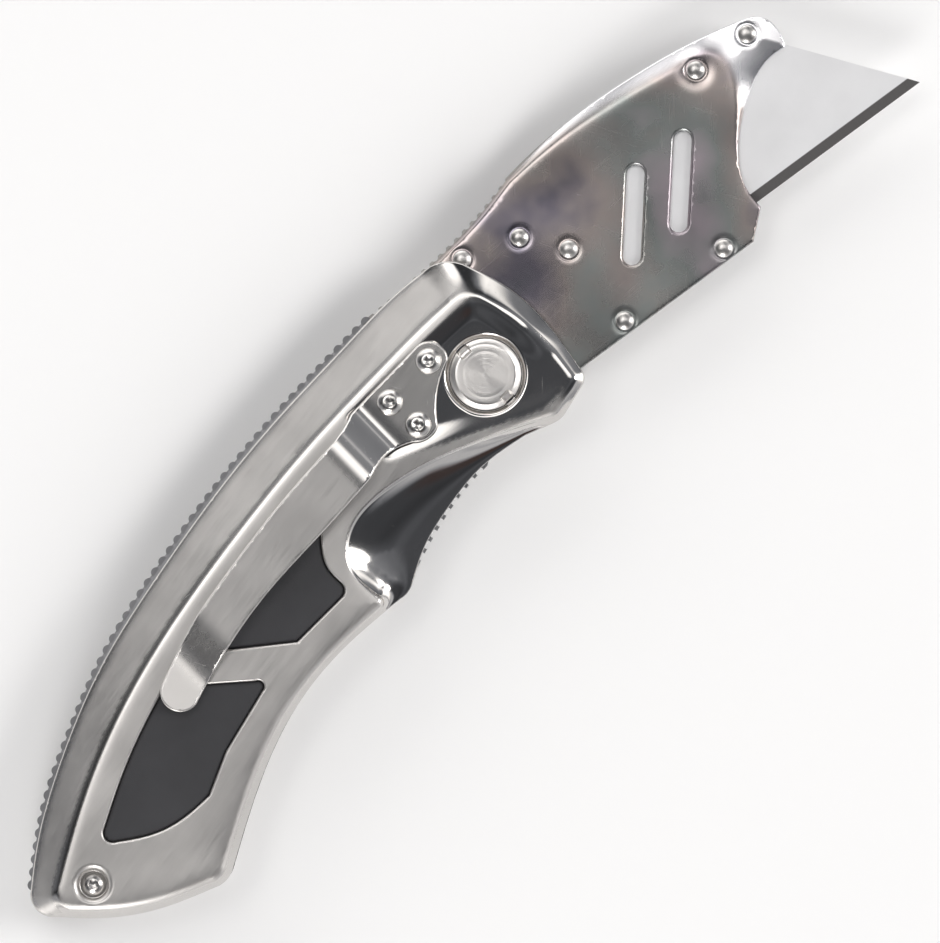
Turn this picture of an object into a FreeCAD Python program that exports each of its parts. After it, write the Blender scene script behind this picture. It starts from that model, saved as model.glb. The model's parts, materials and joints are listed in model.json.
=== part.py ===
"""Folding utility knife with a pivoting blade carrier, a liner lock and a belt clip.

The knife lies on its rear side with the clip upwards. +X runs from the tail to the blade tip, +Y to
the spine and +Z through the thickness. Everything is drawn round the carrier's pivot axis, on the
handle's mid-plane, and is moved at the end so that the origin is the centre of the underside.
"""
import FreeCAD
import Part
import math
import os
from FreeCAD import Vector

# ---- Driving dimensions, in millimetres and degrees --------------------------------------------
# Stack through the thickness, measured from the handle's mid-plane.
CORE_HALF = 0.4            # carrier core, a little thicker than the blade
PLATE_OUT = 1.4            # outer face of a carrier plate
PLATE_SHOULDER = 0.75      # height where a plate's bevel starts
CAM_OUT = 2.5              # outer face of the lock cam
GAP_HALF = 2.6             # inner face of a liner
LINER_OUT = 3.6            # outer face of a liner, inner face of a scale
SCALE_SHOULDER = 4.6       # height where a scale's facets start
SCALE_OUT = 7.2            # flat land of a scale
DISH_FLOOR = 6.4           # floor of the dish round the pivot
INLAY_IN = 4.2             # inner and outer faces of an inlay
INLAY_OUT = 6.8
INLAY_LIP = 0.8            # width and thickness of the flange behind an inlay's window
INLAY_LIP_THICK = 0.9
INLAY_PLAY = 0.06
LINER_INSET = 0.4          # how far a liner's edge lies inside its scale's

# Standard trapezoid utility blade.
BLADE_LENGTH = 60.5
BLADE_WIDTH = 19.0
BLADE_THICK = 0.6
BLADE_END_ANGLE = 52.0     # between the cutting edge and a slanted end
BLADE_BEVEL = 1.5          # width of the ground edge
EDGE_HALF = 0.02           # half the thickness left at the cutting edge
BLADE_NOTCH_X = 4.5        # the two notches in its back, each side of its middle
BLADE_NOTCH_R = 1.6
BLADE_TIP = (75.1, -13.3)
BLADE_TILT = 7.6           # how far the cutting edge points below +X
BLADE_GAP = 0.15           # play between the blade and the core
LEAF_IN = 0.44             # inner face of the leaf that grips the blade
LEAF_OUT = 0.8
LEAF_POCKET = 0.85         # floor of its pocket in the rear plate
LEAF_R = 1.7               # radius of its rounded ends
LEAF_PLAY = 0.15
LEAF_TOUCH = 0.33          # crown of its dimple, just off the blade's face
LEAF_DIMPLE_R = 0.6

# Pivot.
PIVOT_R = 3.0
RUNNING = 0.05             # radial running clearance
PIVOT_DISC_R = 5.2
PIVOT_DISC_TOP = 7.1
PIVOT_SEAT = 5.4           # floor of the counterbore under a pivot disc
PIVOT_SEAT_R = 6.2
PIVOT_THREAD_R = 1.5
SPANNER_R = 0.9            # half-round spanner notches in the disc's rim
SPANNER_DEPTH = 0.9
DISC_CHAMFER = 0.55
REAR_DISC_TOP = 6.8

TANG_R = 8.5
CAM_R = 9.0
CAM_NOTCH = 0.8            # depth, radius and direction of the lock cam's hollow
CAM_NOTCH_R = 2.4
CAM_NOTCH_AT = 216
WASHER_R = 7.0

# Jimping, the row of thumb notches along the spine.
SPACER_PITCH = 1.87
CARRIER_PITCH = 1.65
JIMPING_START = 0.8        # distance of a row's first notch from the line's end
NOTCH_R = 0.62
NOTCH_DEPTH = 0.36
ABOVE = 15.0               # taller than anything on the knife, for cutting tools

# Lock bar: the springing tongue of the rear liner.
LOCK_ROOT_X = -58.0
LOCK_SET = 0.77            # how far it is bent inwards at rest
LOCK_TIP_R = 9.3           # radius of its end round the pivot
LOCK_TIP_LOW = 233.0       # directions of the two corners of that end
LOCK_TIP_HIGH = 198.8
LOCK_SLOT = 0.6            # width of the slot round it
LOCK_ROOT_GAP = 0.15
LOCK_RELIEF = 0.5          # depth of the hollow behind it in the rear scale
LOCK_RELIEF_EDGE = 0.8
DETENT_AT = (-13.0, -6.0)
DETENT_R = 0.75

# Belt clip.
CLIP_THICK = 1.0
CLIP_EASE = 1.6            # length over which each bend is rounded
CLIP_HINGE_X = -22.5       # where the arm starts to spring

# Fasteners: (x, y) in the pivot's frame.
CLIP_SCREWS = [(-12.8, 6.7), (-4.6, 7.1), (-12.1, 1.5)]
CARRIER_RIVETS = [(9.2, 14.4), (17.4, 10.9), (21.4, 4.7), (20.0, -8.5), (37.7, -10.9), (52.8, 10.6),
                  (61.8, 9.2)]
TAIL_SCREW = (-92.3, -13.7)
SPACER_PINS = [(-22.0, 14.2), (-66.0, 6.7)]
CLOSED_STOP = (-26.2, 8.05)
SCREW_R = 1.0
SCREW_HEAD_R = 1.9
SCREW_HEAD_H = 1.0
HEX_FLAT = 0.65            # half the hex socket's width
HEX_DEPTH = 0.7
HEAD_RIM = 0.3             # height of a button head's straight edge
REAR_SEAT = 5.5            # floor of the sunk seats of the rear screws
REAR_SEAT_R = 2.15
RIVET_R = 0.8
RIVET_HEAD_R = 1.3
RIVET_PLAY = 0.02
RIVET_RIM = 0.12           # height of a rivet head's edge
RIVET_CROWN = 0.38         # height of its dome above that edge
BEAK_X = 55.0              # forward of here the plates slope down,
BEAK_DROP = 0.22           # and a rivet sits this much lower
TAIL_SHANK_R = 1.25
TAIL_HEAD_R = 1.95
TAIL_HEAD_H = 1.1
TAIL_SEAT = 5.3
TAIL_SEAT_R = 3.0
STANDOFF_R = 2.6
PIN_R = 1.2

SLIVER = 0.25              # edges shorter than this are closed up in an offset outline

# Where the pivot lies in the finished frame.
FRAME_SHIFT = Vector(12.88, 3.9, SCALE_OUT)


def on_circle(radius, degrees):
    """A point on a circle round the pivot."""
    return radius * math.cos(math.radians(degrees)), radius * math.sin(math.radians(degrees))


# ---- Outlines, as lists of segments. Each segment starts where the one before it ends -----------
# A scale's foot, against the liner.
SCALE_FOOT = [
    ("spline", [(5.0, 16.9), (0, 17.4), (-12, 17.15), (-25, 16.5), (-40, 14.8), (-55, 12.05), (-70, 8.3),
                (-84, 2.5), (-94, -3.2), (-100, -8.2)]),
    ("arc", [(-100, -8.2), (-100.9, -10.8), (-99.5, -13.4)]),
    ("spline", [(-99.5, -13.4), (-95, -18.0), (-88, -22.9), (-80, -26.3)]),
    ("arc", [(-80, -26.3), (-78.1, -26.7), (-76.2, -26.1)]),
    ("spline", [(-76.2, -26.1), (-66, -20.5), (-55, -16.1), (-43, -14.35), (-31.5, -14.9)]),
    ("arc", [(-31.5, -14.9), (-30.0, -14.95), (-28.6, -14.4)]),
    ("spline", [(-28.6, -14.4), (-24, -12.0), (-17, -10.1), (-10, -9.3), (-2.0, -10.4)]),
    ("line", [(-2.0, -10.4), (2.4, -12.0)]),
    ("arc", [(2.4, -12.0), (3.4, -12.2), (4.4, -12.1)]),
    ("line", [(4.4, -12.1), (9.0, -10.9)]),
    ("arc", [(9.0, -10.9), (10.1, -10.2), (10.5, -9.0)]),
    ("spline", [(10.5, -9.0), (11.5, -2), (11.3, 6), (8.9, 13.5)]),
    ("arc", [(8.9, 13.5), (7.4, 15.6), (5.0, 16.9)]),
]
# The rim of a scale's land: the spine crease, the tail, the belly, the thumb scoop and the front crease.
SCALE_RIM = [
    ("spline", [(4.6, 10.8), (0, 10.9), (-12, 10.65), (-25, 10.0), (-40, 8.3), (-55, 5.8), (-70, 1.9),
                (-80, -1.9), (-90, -7.0), (-96.2, -10.6)]),
    ("arc", [(-96.2, -10.6), (-97.4, -12.2), (-97.2, -14.1)]),
    ("spline", [(-97.2, -14.1), (-93.5, -17.6), (-87, -22.2), (-79.8, -25.4)]),
    ("arc", [(-79.8, -25.4), (-78.2, -25.75), (-76.6, -25.2)]),
    ("spline", [(-76.6, -25.2), (-66, -19.5), (-55, -15.15), (-45, -13.6), (-34.4, -13.7)]),
    ("arc", [(-34.4, -13.7), (-33.7, -13.2), (-33.8, -12.2)]),
    ("spline", [(-33.8, -12.2), (-33.6, -6.2), (-30, -2.6), (-22, -1.8), (-1.0, -9.0)]),
    ("line", [(-1.0, -9.0), (2.8, -11.0)]),
    ("arc", [(2.8, -11.0), (3.5, -11.2), (4.2, -11.1)]),
    ("line", [(4.2, -11.1), (8.0, -10.0)]),
    ("arc", [(8.0, -10.0), (8.9, -9.4), (9.2, -8.4)]),
    ("spline", [(9.2, -8.4), (9.6, -3), (9.2, 3), (7.6, 8.2)]),
    ("arc", [(7.6, 8.2), (6.5, 10.0), (4.6, 10.8)]),
]
DISH = [
    ("line", [(4.4, 10.1), (-19.0, 9.7)]),
    ("line", [(-19.0, 9.7), (-19.5, 0.6)]),
    ("spline", [(-19.5, 0.6), (-12, -3.6), (-2, -7.9), (3.2, -10.3)]),
    ("line", [(3.2, -10.3), (7.6, -9.2)]),
    ("arc", [(7.6, -9.2), (8.3, -8.8), (8.5, -8.0)]),
    ("spline", [(8.5, -8.0), (8.9, -3), (8.5, 3), (7.0, 7.8)]),
    ("arc", [(7.0, 7.8), (6.0, 9.4), (4.4, 10.1)]),
]
AFT_WINDOW = [
    ("spline", [(-65.0, -0.3), (-70, -1.9), (-78, -5.1), (-85.6, -9.0)]),
    ("arc", [(-85.6, -9.0), (-86.45, -10.3), (-85.6, -11.6)]),
    ("spline", [(-85.6, -11.6), (-80, -14.9), (-75, -16.0), (-71.2, -16.1)]),
    ("line", [(-71.2, -16.1), (-65, -13.2)]),
    ("line", [(-65, -13.2), (-55.2, -10.6)]),
    ("arc", [(-55.2, -10.6), (-54.3, -9.9), (-54.9, -8.8)]),
    ("line", [(-54.9, -8.8), (-65.0, -0.3)]),
]
FORE_WINDOW = [
    ("spline", [(-33.5, 5.5), (-42, 4.5), (-50, 2.8), (-58.2, 0.0)]),
    ("line", [(-58.2, 0.0), (-46.6, -8.95)]),
    ("line", [(-46.6, -8.95), (-37.4, -8.8)]),
    ("arc", [(-37.4, -8.8), (-36.4, -8.3), (-36.05, -7.2)]),
    ("spline", [(-36.05, -7.2), (-35.9, -4.0), (-34.0, -0.9), (-31.5, 1.9)]),
    ("arc", [(-31.5, 1.9), (-31.2, 4.4), (-33.5, 5.5)]),
]
# The lock bar: its belly edge with the thumb tab, its end round the pivot, and its upper edge.
LOCK_LOW = on_circle(LOCK_TIP_R, LOCK_TIP_LOW)
LOCK_HIGH = on_circle(LOCK_TIP_R, LOCK_TIP_HIGH)
LOCK_BAR = [
    ("line", [(LOCK_ROOT_X, -11.5), (LOCK_ROOT_X, -16.5)]),
    ("spline", [(LOCK_ROOT_X, -16.5), (-50, -14.6), (-40, -13.95), (-30, -14.45)]),
    ("spline", [(-30, -14.45), (-24, -12.45), (-17, -10.55), (-9.0, -9.75)]),
    ("line", [(-9.0, -9.75), LOCK_LOW]),
    ("arc", [LOCK_LOW, on_circle(LOCK_TIP_R, (LOCK_TIP_LOW + LOCK_TIP_HIGH) / 2), LOCK_HIGH]),
    ("spline", [LOCK_HIGH, (-20, -4.6), (-40, -8.0), (LOCK_ROOT_X, -11.5)]),
]
LOCK_TAB = [(-26, -13.1), (-22, -11.8), (-17, -10.55), (-13, -10.0), (-9.6, -9.8)]
# The spine line of the backspacer, which stands proud of the scales.
SPACER_SPINE = [(-7.2, 18.3), (-25, 17.55), (-40, 15.95), (-55, 13.2), (-70, 9.2), (-80, 4.95),
                (-90, -0.35), (-99.4, -7.4)]
BACKSPACER = [
    ("spline", SPACER_SPINE),
    ("arc", [(-99.4, -7.4), (-99.9, -9.6), (-98.4, -12.0)]),
    ("line", [(-98.4, -12.0), (-94.6, -10.0)]),
    ("spline", [(-94.6, -10.0), (-86, -4.6), (-76, 1.6), (-62, 6.6), (-45, 10.4), (-30, 12.2),
                (-7.2, 12.9)]),
    ("line", [(-7.2, 12.9), (-7.2, 18.3)]),
]
# The carrier: tang, cutting side, beak and spine.
TANG_FOOT = on_circle(TANG_R, -92)
TANG_BACK = on_circle(TANG_R, 135)
PLATE_INSET = 0.25         # width of a plate's bevel round the tang
CARRIER_SPINE = [(22.0, 18.5), (15, 17.55), (7, 17.25), (0, 17.5), (-7.0, 17.9)]
CARRIER = [
    ("line", [TANG_FOOT, (11.0, -9.1)]),
    ("line", [(11.0, -9.1), (41.5, -13.2)]),
    ("line", [(41.5, -13.2), (45.8, -10.3)]),
    ("spline", [(45.8, -10.3), (46.2, -6.8), (49, -2.3), (53.5, 1.3), (58.5, 3.8)]),
    ("spline", [(58.5, 3.8), (61.5, 4.4), (64.6, 4.0)]),
    ("arc", [(64.6, 4.0), (65.45, 6.0), (65.6, 8.2)]),
    ("spline", [(65.6, 8.2), (64.9, 9.8), (63.4, 10.9)]),
    ("spline", [(63.4, 10.9), (55, 14.0), (45, 16.5), (33, 18.3), (22.0, 18.5)]),
    ("spline", CARRIER_SPINE),
    ("line", [(-7.0, 17.9), (-6.7, 12.0)]),
    ("line", [(-6.7, 12.0), TANG_BACK]),
    ("arc", [TANG_BACK, (-TANG_R, 0.0), TANG_FOOT]),
]
# The flat of a carrier plate, inside its bevelled spine and beak, with the same segments as the outline.
CARRIER_FLAT = [
    ("line", [(TANG_FOOT[0], TANG_FOOT[1] + PLATE_INSET), (11.2, -8.75)]),
    ("line", [(11.2, -8.75), (41.4, -12.8)]),
    ("line", [(41.4, -12.8), (45.35, -10.1)]),
    ("spline", [(45.35, -10.1), (45.75, -6.7), (48.65, -2.0), (52.0, 1.0), (54.5, 4.0)]),
    ("spline", [(54.5, 4.0), (55.8, 6.0), (56.6, 8.0)]),
    ("arc", [(56.6, 8.0), (56.8, 9.0), (56.6, 10.0)]),
    ("spline", [(56.6, 10.0), (55.6, 11.4), (54.0, 12.4)]),
    ("spline", [(54.0, 12.4), (49, 13.3), (41, 15.3), (32, 17.0), (22.0, 17.9)]),
    ("spline", [(22.0, 17.9), (15, 17.1), (7, 16.85), (0, 17.1), (-6.6, 17.5)]),
    ("line", [(-6.6, 17.5), (-6.35, 12.0)]),
    ("line", [(-6.35, 12.0), (TANG_BACK[0] + PLATE_INSET, TANG_BACK[1])]),
    ("arc", [(TANG_BACK[0] + PLATE_INSET, TANG_BACK[1]), (-TANG_R + PLATE_INSET, 0.0),
             (TANG_FOOT[0], TANG_FOOT[1] + PLATE_INSET)]),
]
PLATE_SLOTS = [((27.3, -2.4), (36.0, 5.8)), ((35.5, -3.7), (44.4, 4.6))]
PLATE_SLOT_R = 1.3
# The leaf that grips the blade: two riveted ends and the pressed dimple over the blade.
LEAF_ENDS = [(17.4, 10.9), (21.4, 4.7), (31.0, 7.0)]
LEAF_DIMPLE = (30.6, 6.9)
CLIP_PAD = [
    ("line", [(CLIP_HINGE_X, 8.2), (-20.6, 8.6)]),
    ("line", [(-20.6, 8.6), (-18.0, 9.4)]),
    ("line", [(-18.0, 9.4), (-5.0, 9.9)]),
    ("arc", [(-5.0, 9.9), (-2.0, 8.3), (-2.35, 5.4)]),
    ("arc", [(-2.35, 5.4), (-7.3, 2.6), (-10.1, -0.5)]),
    ("arc", [(-10.1, -0.5), (-12.4, -0.9), (-14.4, 0.2)]),
    ("line", [(-14.4, 0.2), (-18.5, 1.9)]),
    ("line", [(-18.5, 1.9), (CLIP_HINGE_X, 0.7)]),
    ("line", [(CLIP_HINGE_X, 0.7), (CLIP_HINGE_X, 8.2)]),
]
CLIP_ARM = [
    ("line", [(CLIP_HINGE_X, 0.7), (CLIP_HINGE_X, 8.2)]),
    ("spline", [(CLIP_HINGE_X, 8.2), (-35, 7.15), (-46, 5.5), (-56, 3.4), (-64.5, 0.4)]),
    ("arc", [(-64.5, 0.4), (-66.6, -2.9), (-63.4, -5.3)]),
    ("spline", [(-63.4, -5.3), (-55, -2.8), (-44, -0.8), (-33, -0.1), (CLIP_HINGE_X, 0.7)]),
]
# Underside of the clip seen from the side, from the pad to the flared tip.
CLIP_SIDE = [(0.0, DISH_FLOOR), (-17.2, DISH_FLOOR), (-21.6, 9.3), (-23.6, 9.6), (-54.0, 8.9), (-58.6, 7.3),
             (-60.5, 7.4), (-67.5, 8.6)]


# ---- Drawing helpers ---------------------------------------------------------------------------
def edge(kind, points, z):
    """One segment of an outline at height z."""
    at = [Vector(x, y, z) for x, y in points]
    if kind == "line":
        return Part.makeLine(at[0], at[-1])
    if kind == "arc":
        return Part.Arc(*at).toShape()
    curve = Part.BSplineCurve()
    curve.interpolate(at)
    return curve.toShape()


def wire(outline, z=0.0):
    return Part.Wire([edge(kind, points, z) for kind, points in outline])


def plate(outline, low, high):
    """A flat plate of the outline between two heights."""
    return Part.Face(wire(outline, low)).extrude(Vector(0, 0, high - low))


def smooth_ring(edges):
    """A closed wire along the given edges, with their slivers left out, as splines that STEP can hold."""
    runs = [e.discretize(Number=int(e.Length / 2.0) + 3) for e in edges if e.Length > SLIVER]
    if runs[0][0].distanceToPoint(runs[1][0]) < runs[0][-1].distanceToPoint(runs[1][0]):
        runs[0].reverse()
    for before, run in zip(runs, runs[1:]):
        if before[-1].distanceToPoint(run[-1]) < before[-1].distanceToPoint(run[0]):
            run.reverse()
    pieces = []
    for before, run in zip(runs[-1:] + runs, runs):
        curve = Part.BSplineCurve()
        curve.interpolate([before[-1]] + run[1:])
        pieces.append(curve.toShape())
    return Part.Wire(pieces)


def grown(outline, by, low, high):
    """The plate of an outline moved outwards, or inwards if by is negative."""
    moved = Part.Face(wire(outline)).makeOffset2D(by, 0, False, False, True)
    rim = smooth_ring(Part.__sortEdges__(moved.OuterWire.Edges))
    body = Part.Face(rim).extrude(Vector(0, 0, high - low))
    body.translate(Vector(0, 0, low))
    return body


def post(radius, low, high, at=(0.0, 0.0)):
    return Part.makeCylinder(radius, high - low, Vector(at[0], at[1], low))


def dome(radius, height, z, at):
    """A shallow spherical crown on a circle of the given radius."""
    ball_r = (radius**2 + height**2) / (2 * height)
    ball = Part.makeSphere(ball_r, Vector(at[0], at[1], z + height - ball_r))
    return ball.common(post(radius + 1, z, z + height + 1, at))


def hexagon(flat, low, high, at):
    corner = flat / math.cos(math.radians(30))
    points = [Vector(at[0] + corner * math.cos(math.radians(60 * k)),
                     at[1] + corner * math.sin(math.radians(60 * k)), low) for k in range(7)]
    return Part.Face(Part.makePolygon(points)).extrude(Vector(0, 0, high - low))


def slot(start, end, radius, low, high):
    """A round-ended slot between two centres."""
    dx, dy = end[0] - start[0], end[1] - start[1]
    length = math.hypot(dx, dy)
    box = Part.makeBox(length, 2 * radius, high - low, Vector(0, -radius, low))
    box.rotate(Vector(0, 0, 0), Vector(0, 0, 1), math.degrees(math.atan2(dy, dx)))
    box.translate(Vector(start[0], start[1], 0))
    return box.fuse([post(radius, low, high, start), post(radius, low, high, end)]).removeSplitter()


def mirrored(shape):
    """The same shape on the other side of the mid-plane."""
    return shape.mirror(Vector(0, 0, 0), Vector(0, 0, 1))


def jimping(spine, pitch, low, high, margin=JIMPING_START):
    """Round notches along a spine line, as one cutting tool. Each centre stands outside the line."""
    curve = Part.BSplineCurve()
    curve.interpolate([Vector(x, y, 0) for x, y in spine])
    run = curve.length() - 2 * margin
    notches = []
    for k in range(int(run / pitch) + 1):
        where = curve.parameterAtDistance(margin + k * pitch, curve.FirstParameter)
        point, along = curve.value(where), curve.tangent(where)[0]
        out = Vector(along.y, -along.x, 0) if spine[0][0] > spine[-1][0] else Vector(-along.y, along.x, 0)
        centre = point + out * (NOTCH_R - NOTCH_DEPTH)
        notches.append(post(NOTCH_R, low, high, (centre.x, centre.y)))
    return Part.makeCompound(notches)


def one_solid(shape):
    """The single solid of a boolean result, with its split faces joined."""
    solids = shape.removeSplitter().Solids
    if len(solids) != 1:
        raise ValueError("expected one solid, got %d" % len(solids))
    return solids[0]


# ---- Handle: scales, inlays, liners, backspacer ------------------------------------------------
def scale_blank():
    """The casting before any machining, on the clip side."""
    sections = [wire(SCALE_FOOT, LINER_OUT), wire(SCALE_FOOT, SCALE_SHOULDER), wire(SCALE_RIM, SCALE_OUT)]
    return Part.makeLoft(sections, True, True)


def scale(is_front):
    """A handle scale on the clip side. The rear one has sunk screw seats and a relief for the lock bar."""
    top = SCALE_OUT + 1
    tools = [
        plate(DISH, DISH_FLOOR, top),
        plate(AFT_WINDOW, 0, top),
        plate(FORE_WINDOW, 0, top),
        grown(AFT_WINDOW, INLAY_LIP + INLAY_PLAY, 0, INLAY_IN + INLAY_LIP_THICK),
        grown(FORE_WINDOW, INLAY_LIP + INLAY_PLAY, 0, INLAY_IN + INLAY_LIP_THICK),
        post(PIVOT_SEAT_R, PIVOT_SEAT, top),
        post(PIVOT_R + RUNNING, 0, top),
        post(TAIL_SEAT_R, TAIL_SEAT, top, TAIL_SCREW),
        post(TAIL_SHANK_R + RUNNING, 0, top, TAIL_SCREW),
    ]
    for at in CLIP_SCREWS:
        tools.append(post(SCREW_R + RUNNING, 0, top, at))
        if not is_front:
            tools.append(post(REAR_SEAT_R, REAR_SEAT, top, at))
    if not is_front:
        tools.append(grown(LOCK_BAR, LOCK_RELIEF_EDGE, 0, LINER_OUT + LOCK_RELIEF))
    return one_solid(scale_blank().cut(tools))


def inlay(window):
    """A rubber grip pad: it fills its window and its flange is held behind the scale."""
    pad = grown(window, -INLAY_PLAY, INLAY_IN, INLAY_OUT)
    flange = grown(window, INLAY_LIP, INLAY_IN, INLAY_IN + INLAY_LIP_THICK)
    return one_solid(pad.fuse(flange))


def liner_blank():
    """A liner on the clip side, with its holes."""
    holes = [post(PIVOT_R + RUNNING, 0, ABOVE), post(TAIL_SHANK_R + RUNNING, 0, ABOVE, TAIL_SCREW)]
    holes += [post(PIN_R + RUNNING, 0, ABOVE, at) for at in SPACER_PINS + [CLOSED_STOP]]
    holes += [post(SCREW_R + RUNNING, 0, ABOVE, at) for at in CLIP_SCREWS]
    return grown(SCALE_FOOT, -LINER_INSET, GAP_HALF, LINER_OUT).cut(holes)


def front_liner():
    return one_solid(liner_blank())


def rear_liner():
    """The liner with the lock bar cut free of it, up to the bar's root."""
    free = grown(LOCK_BAR, LOCK_SLOT, 0, ABOVE)
    fore = Part.makeBox(200, 100, 2 * ABOVE, Vector(LOCK_ROOT_X - LOCK_ROOT_GAP, -50, -ABOVE))
    return one_solid(mirrored(liner_blank().cut(free.common(fore))))


def bent_inwards(bar):
    """Turn a piece of the lock bar about its root, to where it rests with the knife open."""
    bar.rotate(Vector(LOCK_ROOT_X, 0, -(GAP_HALF + LINER_OUT) / 2), Vector(0, 1, 0), -LOCK_SET)
    return bar


def lock_bar():
    """The springing tongue, with its thumb notches and the seat of the detent ball."""
    bar = plate(LOCK_BAR, GAP_HALF, LINER_OUT).cut(jimping(LOCK_TAB[::-1], SPACER_PITCH, 0, ABOVE))
    ball_seat = post(DETENT_R + RUNNING, -ABOVE, 0, DETENT_AT)
    return one_solid(bent_inwards(mirrored(bar).cut(ball_seat)))


def detent_ball():
    """A ball pressed into the lock bar near its end."""
    middle = Vector(DETENT_AT[0], DETENT_AT[1], -(GAP_HALF + LINER_OUT) / 2)
    return bent_inwards(Part.makeSphere(DETENT_R, middle))


def backspacer():
    blank = plate(BACKSPACER, -GAP_HALF, GAP_HALF)
    notches = jimping(SPACER_SPINE, SPACER_PITCH, -ABOVE, ABOVE)
    holes = [post(PIN_R + RUNNING, -ABOVE, ABOVE, at) for at in SPACER_PINS]
    return one_solid(blank.cut([notches] + holes))


def group(shapes):
    return Part.makeCompound(shapes)


def spacer_pins():
    return group([post(PIN_R, -LINER_OUT, LINER_OUT, at) for at in SPACER_PINS])


def closed_stop_pin():
    return post(PIN_R, -LINER_OUT, LINER_OUT, CLOSED_STOP)


# ---- Pivot -------------------------------------------------------------------------------------
def pivot_disc(top):
    """A disc head with a chamfered rim and two spanner notches."""
    disc = post(PIVOT_DISC_R, PIVOT_SEAT, top)
    disc = disc.makeChamfer(DISC_CHAMFER, [e for e in disc.Edges if abs(e.BoundBox.ZMin - top) < 1e-6])
    rim = PIVOT_DISC_R - DISC_CHAMFER
    notches = [post(SPANNER_R, top - SPANNER_DEPTH, ABOVE, (0, side * rim)) for side in (1, -1)]
    return disc.cut(notches)


def pivot_screw():
    shank = post(PIVOT_THREAD_R - RUNNING, -GAP_HALF, PIVOT_SEAT)
    return one_solid(pivot_disc(PIVOT_DISC_TOP).fuse(shank))


def pivot_sleeve():
    """The barrel the carrier turns on, threaded for the pivot screw."""
    disc = mirrored(pivot_disc(REAR_DISC_TOP))
    barrel = post(PIVOT_R, -PIVOT_SEAT, PIVOT_SEAT - 0.05)
    bore = post(PIVOT_THREAD_R, -GAP_HALF - 0.4, PIVOT_SEAT)
    return one_solid(disc.fuse(barrel).cut(bore))


def pivot_washer():
    """Bronze washer between the carrier's front plate and the front liner."""
    return post(WASHER_R, PLATE_OUT + 0.05, GAP_HALF - 0.05).cut(post(PIVOT_R + RUNNING, 0, GAP_HALF))


# ---- Blade carrier -----------------------------------------------------------------------------
def blade_axes():
    """Unit vectors along the blade towards its tip, and across it towards its back."""
    tilt = math.radians(BLADE_TILT)
    return Vector(math.cos(tilt), -math.sin(tilt), 0), Vector(math.sin(tilt), math.cos(tilt), 0)


def blade_point(back, up, z=0.0):
    """A point of the blade: back from its tip along the edge, and up from the edge."""
    along, across = blade_axes()
    return Vector(BLADE_TIP[0], BLADE_TIP[1], z) - along * back + across * up


def blade_bay(low, high, reach=40.0):
    """The room that the blade slides in, open at the beak."""
    slant = (BLADE_WIDTH + 2 * BLADE_GAP) / math.tan(math.radians(BLADE_END_ANGLE))
    corners = [blade_point(BLADE_LENGTH + BLADE_GAP, -BLADE_GAP, low),
               blade_point(-reach, -BLADE_GAP, low),
               blade_point(-reach, BLADE_WIDTH + BLADE_GAP, low),
               blade_point(BLADE_LENGTH + BLADE_GAP - slant, BLADE_WIDTH + BLADE_GAP, low)]
    return Part.Face(Part.makePolygon(corners + corners[:1])).extrude(Vector(0, 0, high - low))


def carrier_core():
    """The inner frame: tang, spine strip and edge strip round the blade's bay."""
    core = plate(CARRIER, -CORE_HALF, CORE_HALF)
    tools = [blade_bay(-ABOVE, ABOVE), post(PIVOT_R + RUNNING, -ABOVE, ABOVE),
             jimping(CARRIER_SPINE, CARRIER_PITCH, -ABOVE, ABOVE)]
    tools += [post(RIVET_R + RIVET_PLAY, -ABOVE, ABOVE, at) for at in CARRIER_RIVETS]
    return one_solid(core.cut(tools))


def carrier_plate():
    """A side plate on the clip side, bevelled along its spine and beak, with two slots."""
    sections = [wire(CARRIER, CORE_HALF), wire(CARRIER, PLATE_SHOULDER), wire(CARRIER_FLAT, PLATE_OUT)]
    blank = Part.makeLoft(sections, True, True)
    tools = [post(PIVOT_R + RUNNING, 0, ABOVE),
             jimping(CARRIER_SPINE, CARRIER_PITCH, 0, ABOVE)]
    tools += [slot(a, b, PLATE_SLOT_R, 0, ABOVE) for a, b in PLATE_SLOTS]
    tools += [post(RIVET_R + RIVET_PLAY, 0, ABOVE, at) for at in CARRIER_RIVETS]
    return one_solid(blank.cut(tools))


def leaf_shape(extra, low, high):
    """The leaf's rounded triangle, grown by extra, between two heights."""
    corners = [Vector(x, y, 0) for x, y in LEAF_ENDS]
    face = Part.Face(Part.makePolygon(corners + corners[:1])).makeOffset2D(LEAF_R + extra)
    body = face.extrude(Vector(0, 0, high - low))
    body.translate(Vector(0, 0, low))
    return body


def carrier_rear_plate():
    """The mirror of the front plate, with a pocket for the leaf in its inner face."""
    return one_solid(mirrored(carrier_plate().cut(leaf_shape(LEAF_PLAY, 0, LEAF_POCKET))))


def blade_spring():
    """The leaf riveted inside the rear plate, with a dimple that bears on the blade."""
    holes = [post(RIVET_R + RIVET_PLAY, 0, ABOVE, at) for at in LEAF_ENDS[:2]]
    leaf = leaf_shape(0, LEAF_IN, LEAF_OUT).cut(holes)
    dimple = dome(LEAF_DIMPLE_R, LEAF_IN - LEAF_TOUCH, 0, LEAF_DIMPLE)
    dimple.translate(Vector(0, 0, -LEAF_IN))
    return one_solid(mirrored(leaf).fuse(dimple))


def lock_cam():
    """The hardened disc on the rear plate, with the hollow that the lock bar springs in behind."""
    disc = post(CAM_R, PLATE_OUT, CAM_OUT)
    notch = post(CAM_NOTCH_R, 0, 4, on_circle(CAM_R + CAM_NOTCH_R - CAM_NOTCH, CAM_NOTCH_AT))
    return one_solid(mirrored(disc.cut([notch, post(PIVOT_R + RUNNING, 0, 4)])))


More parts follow.
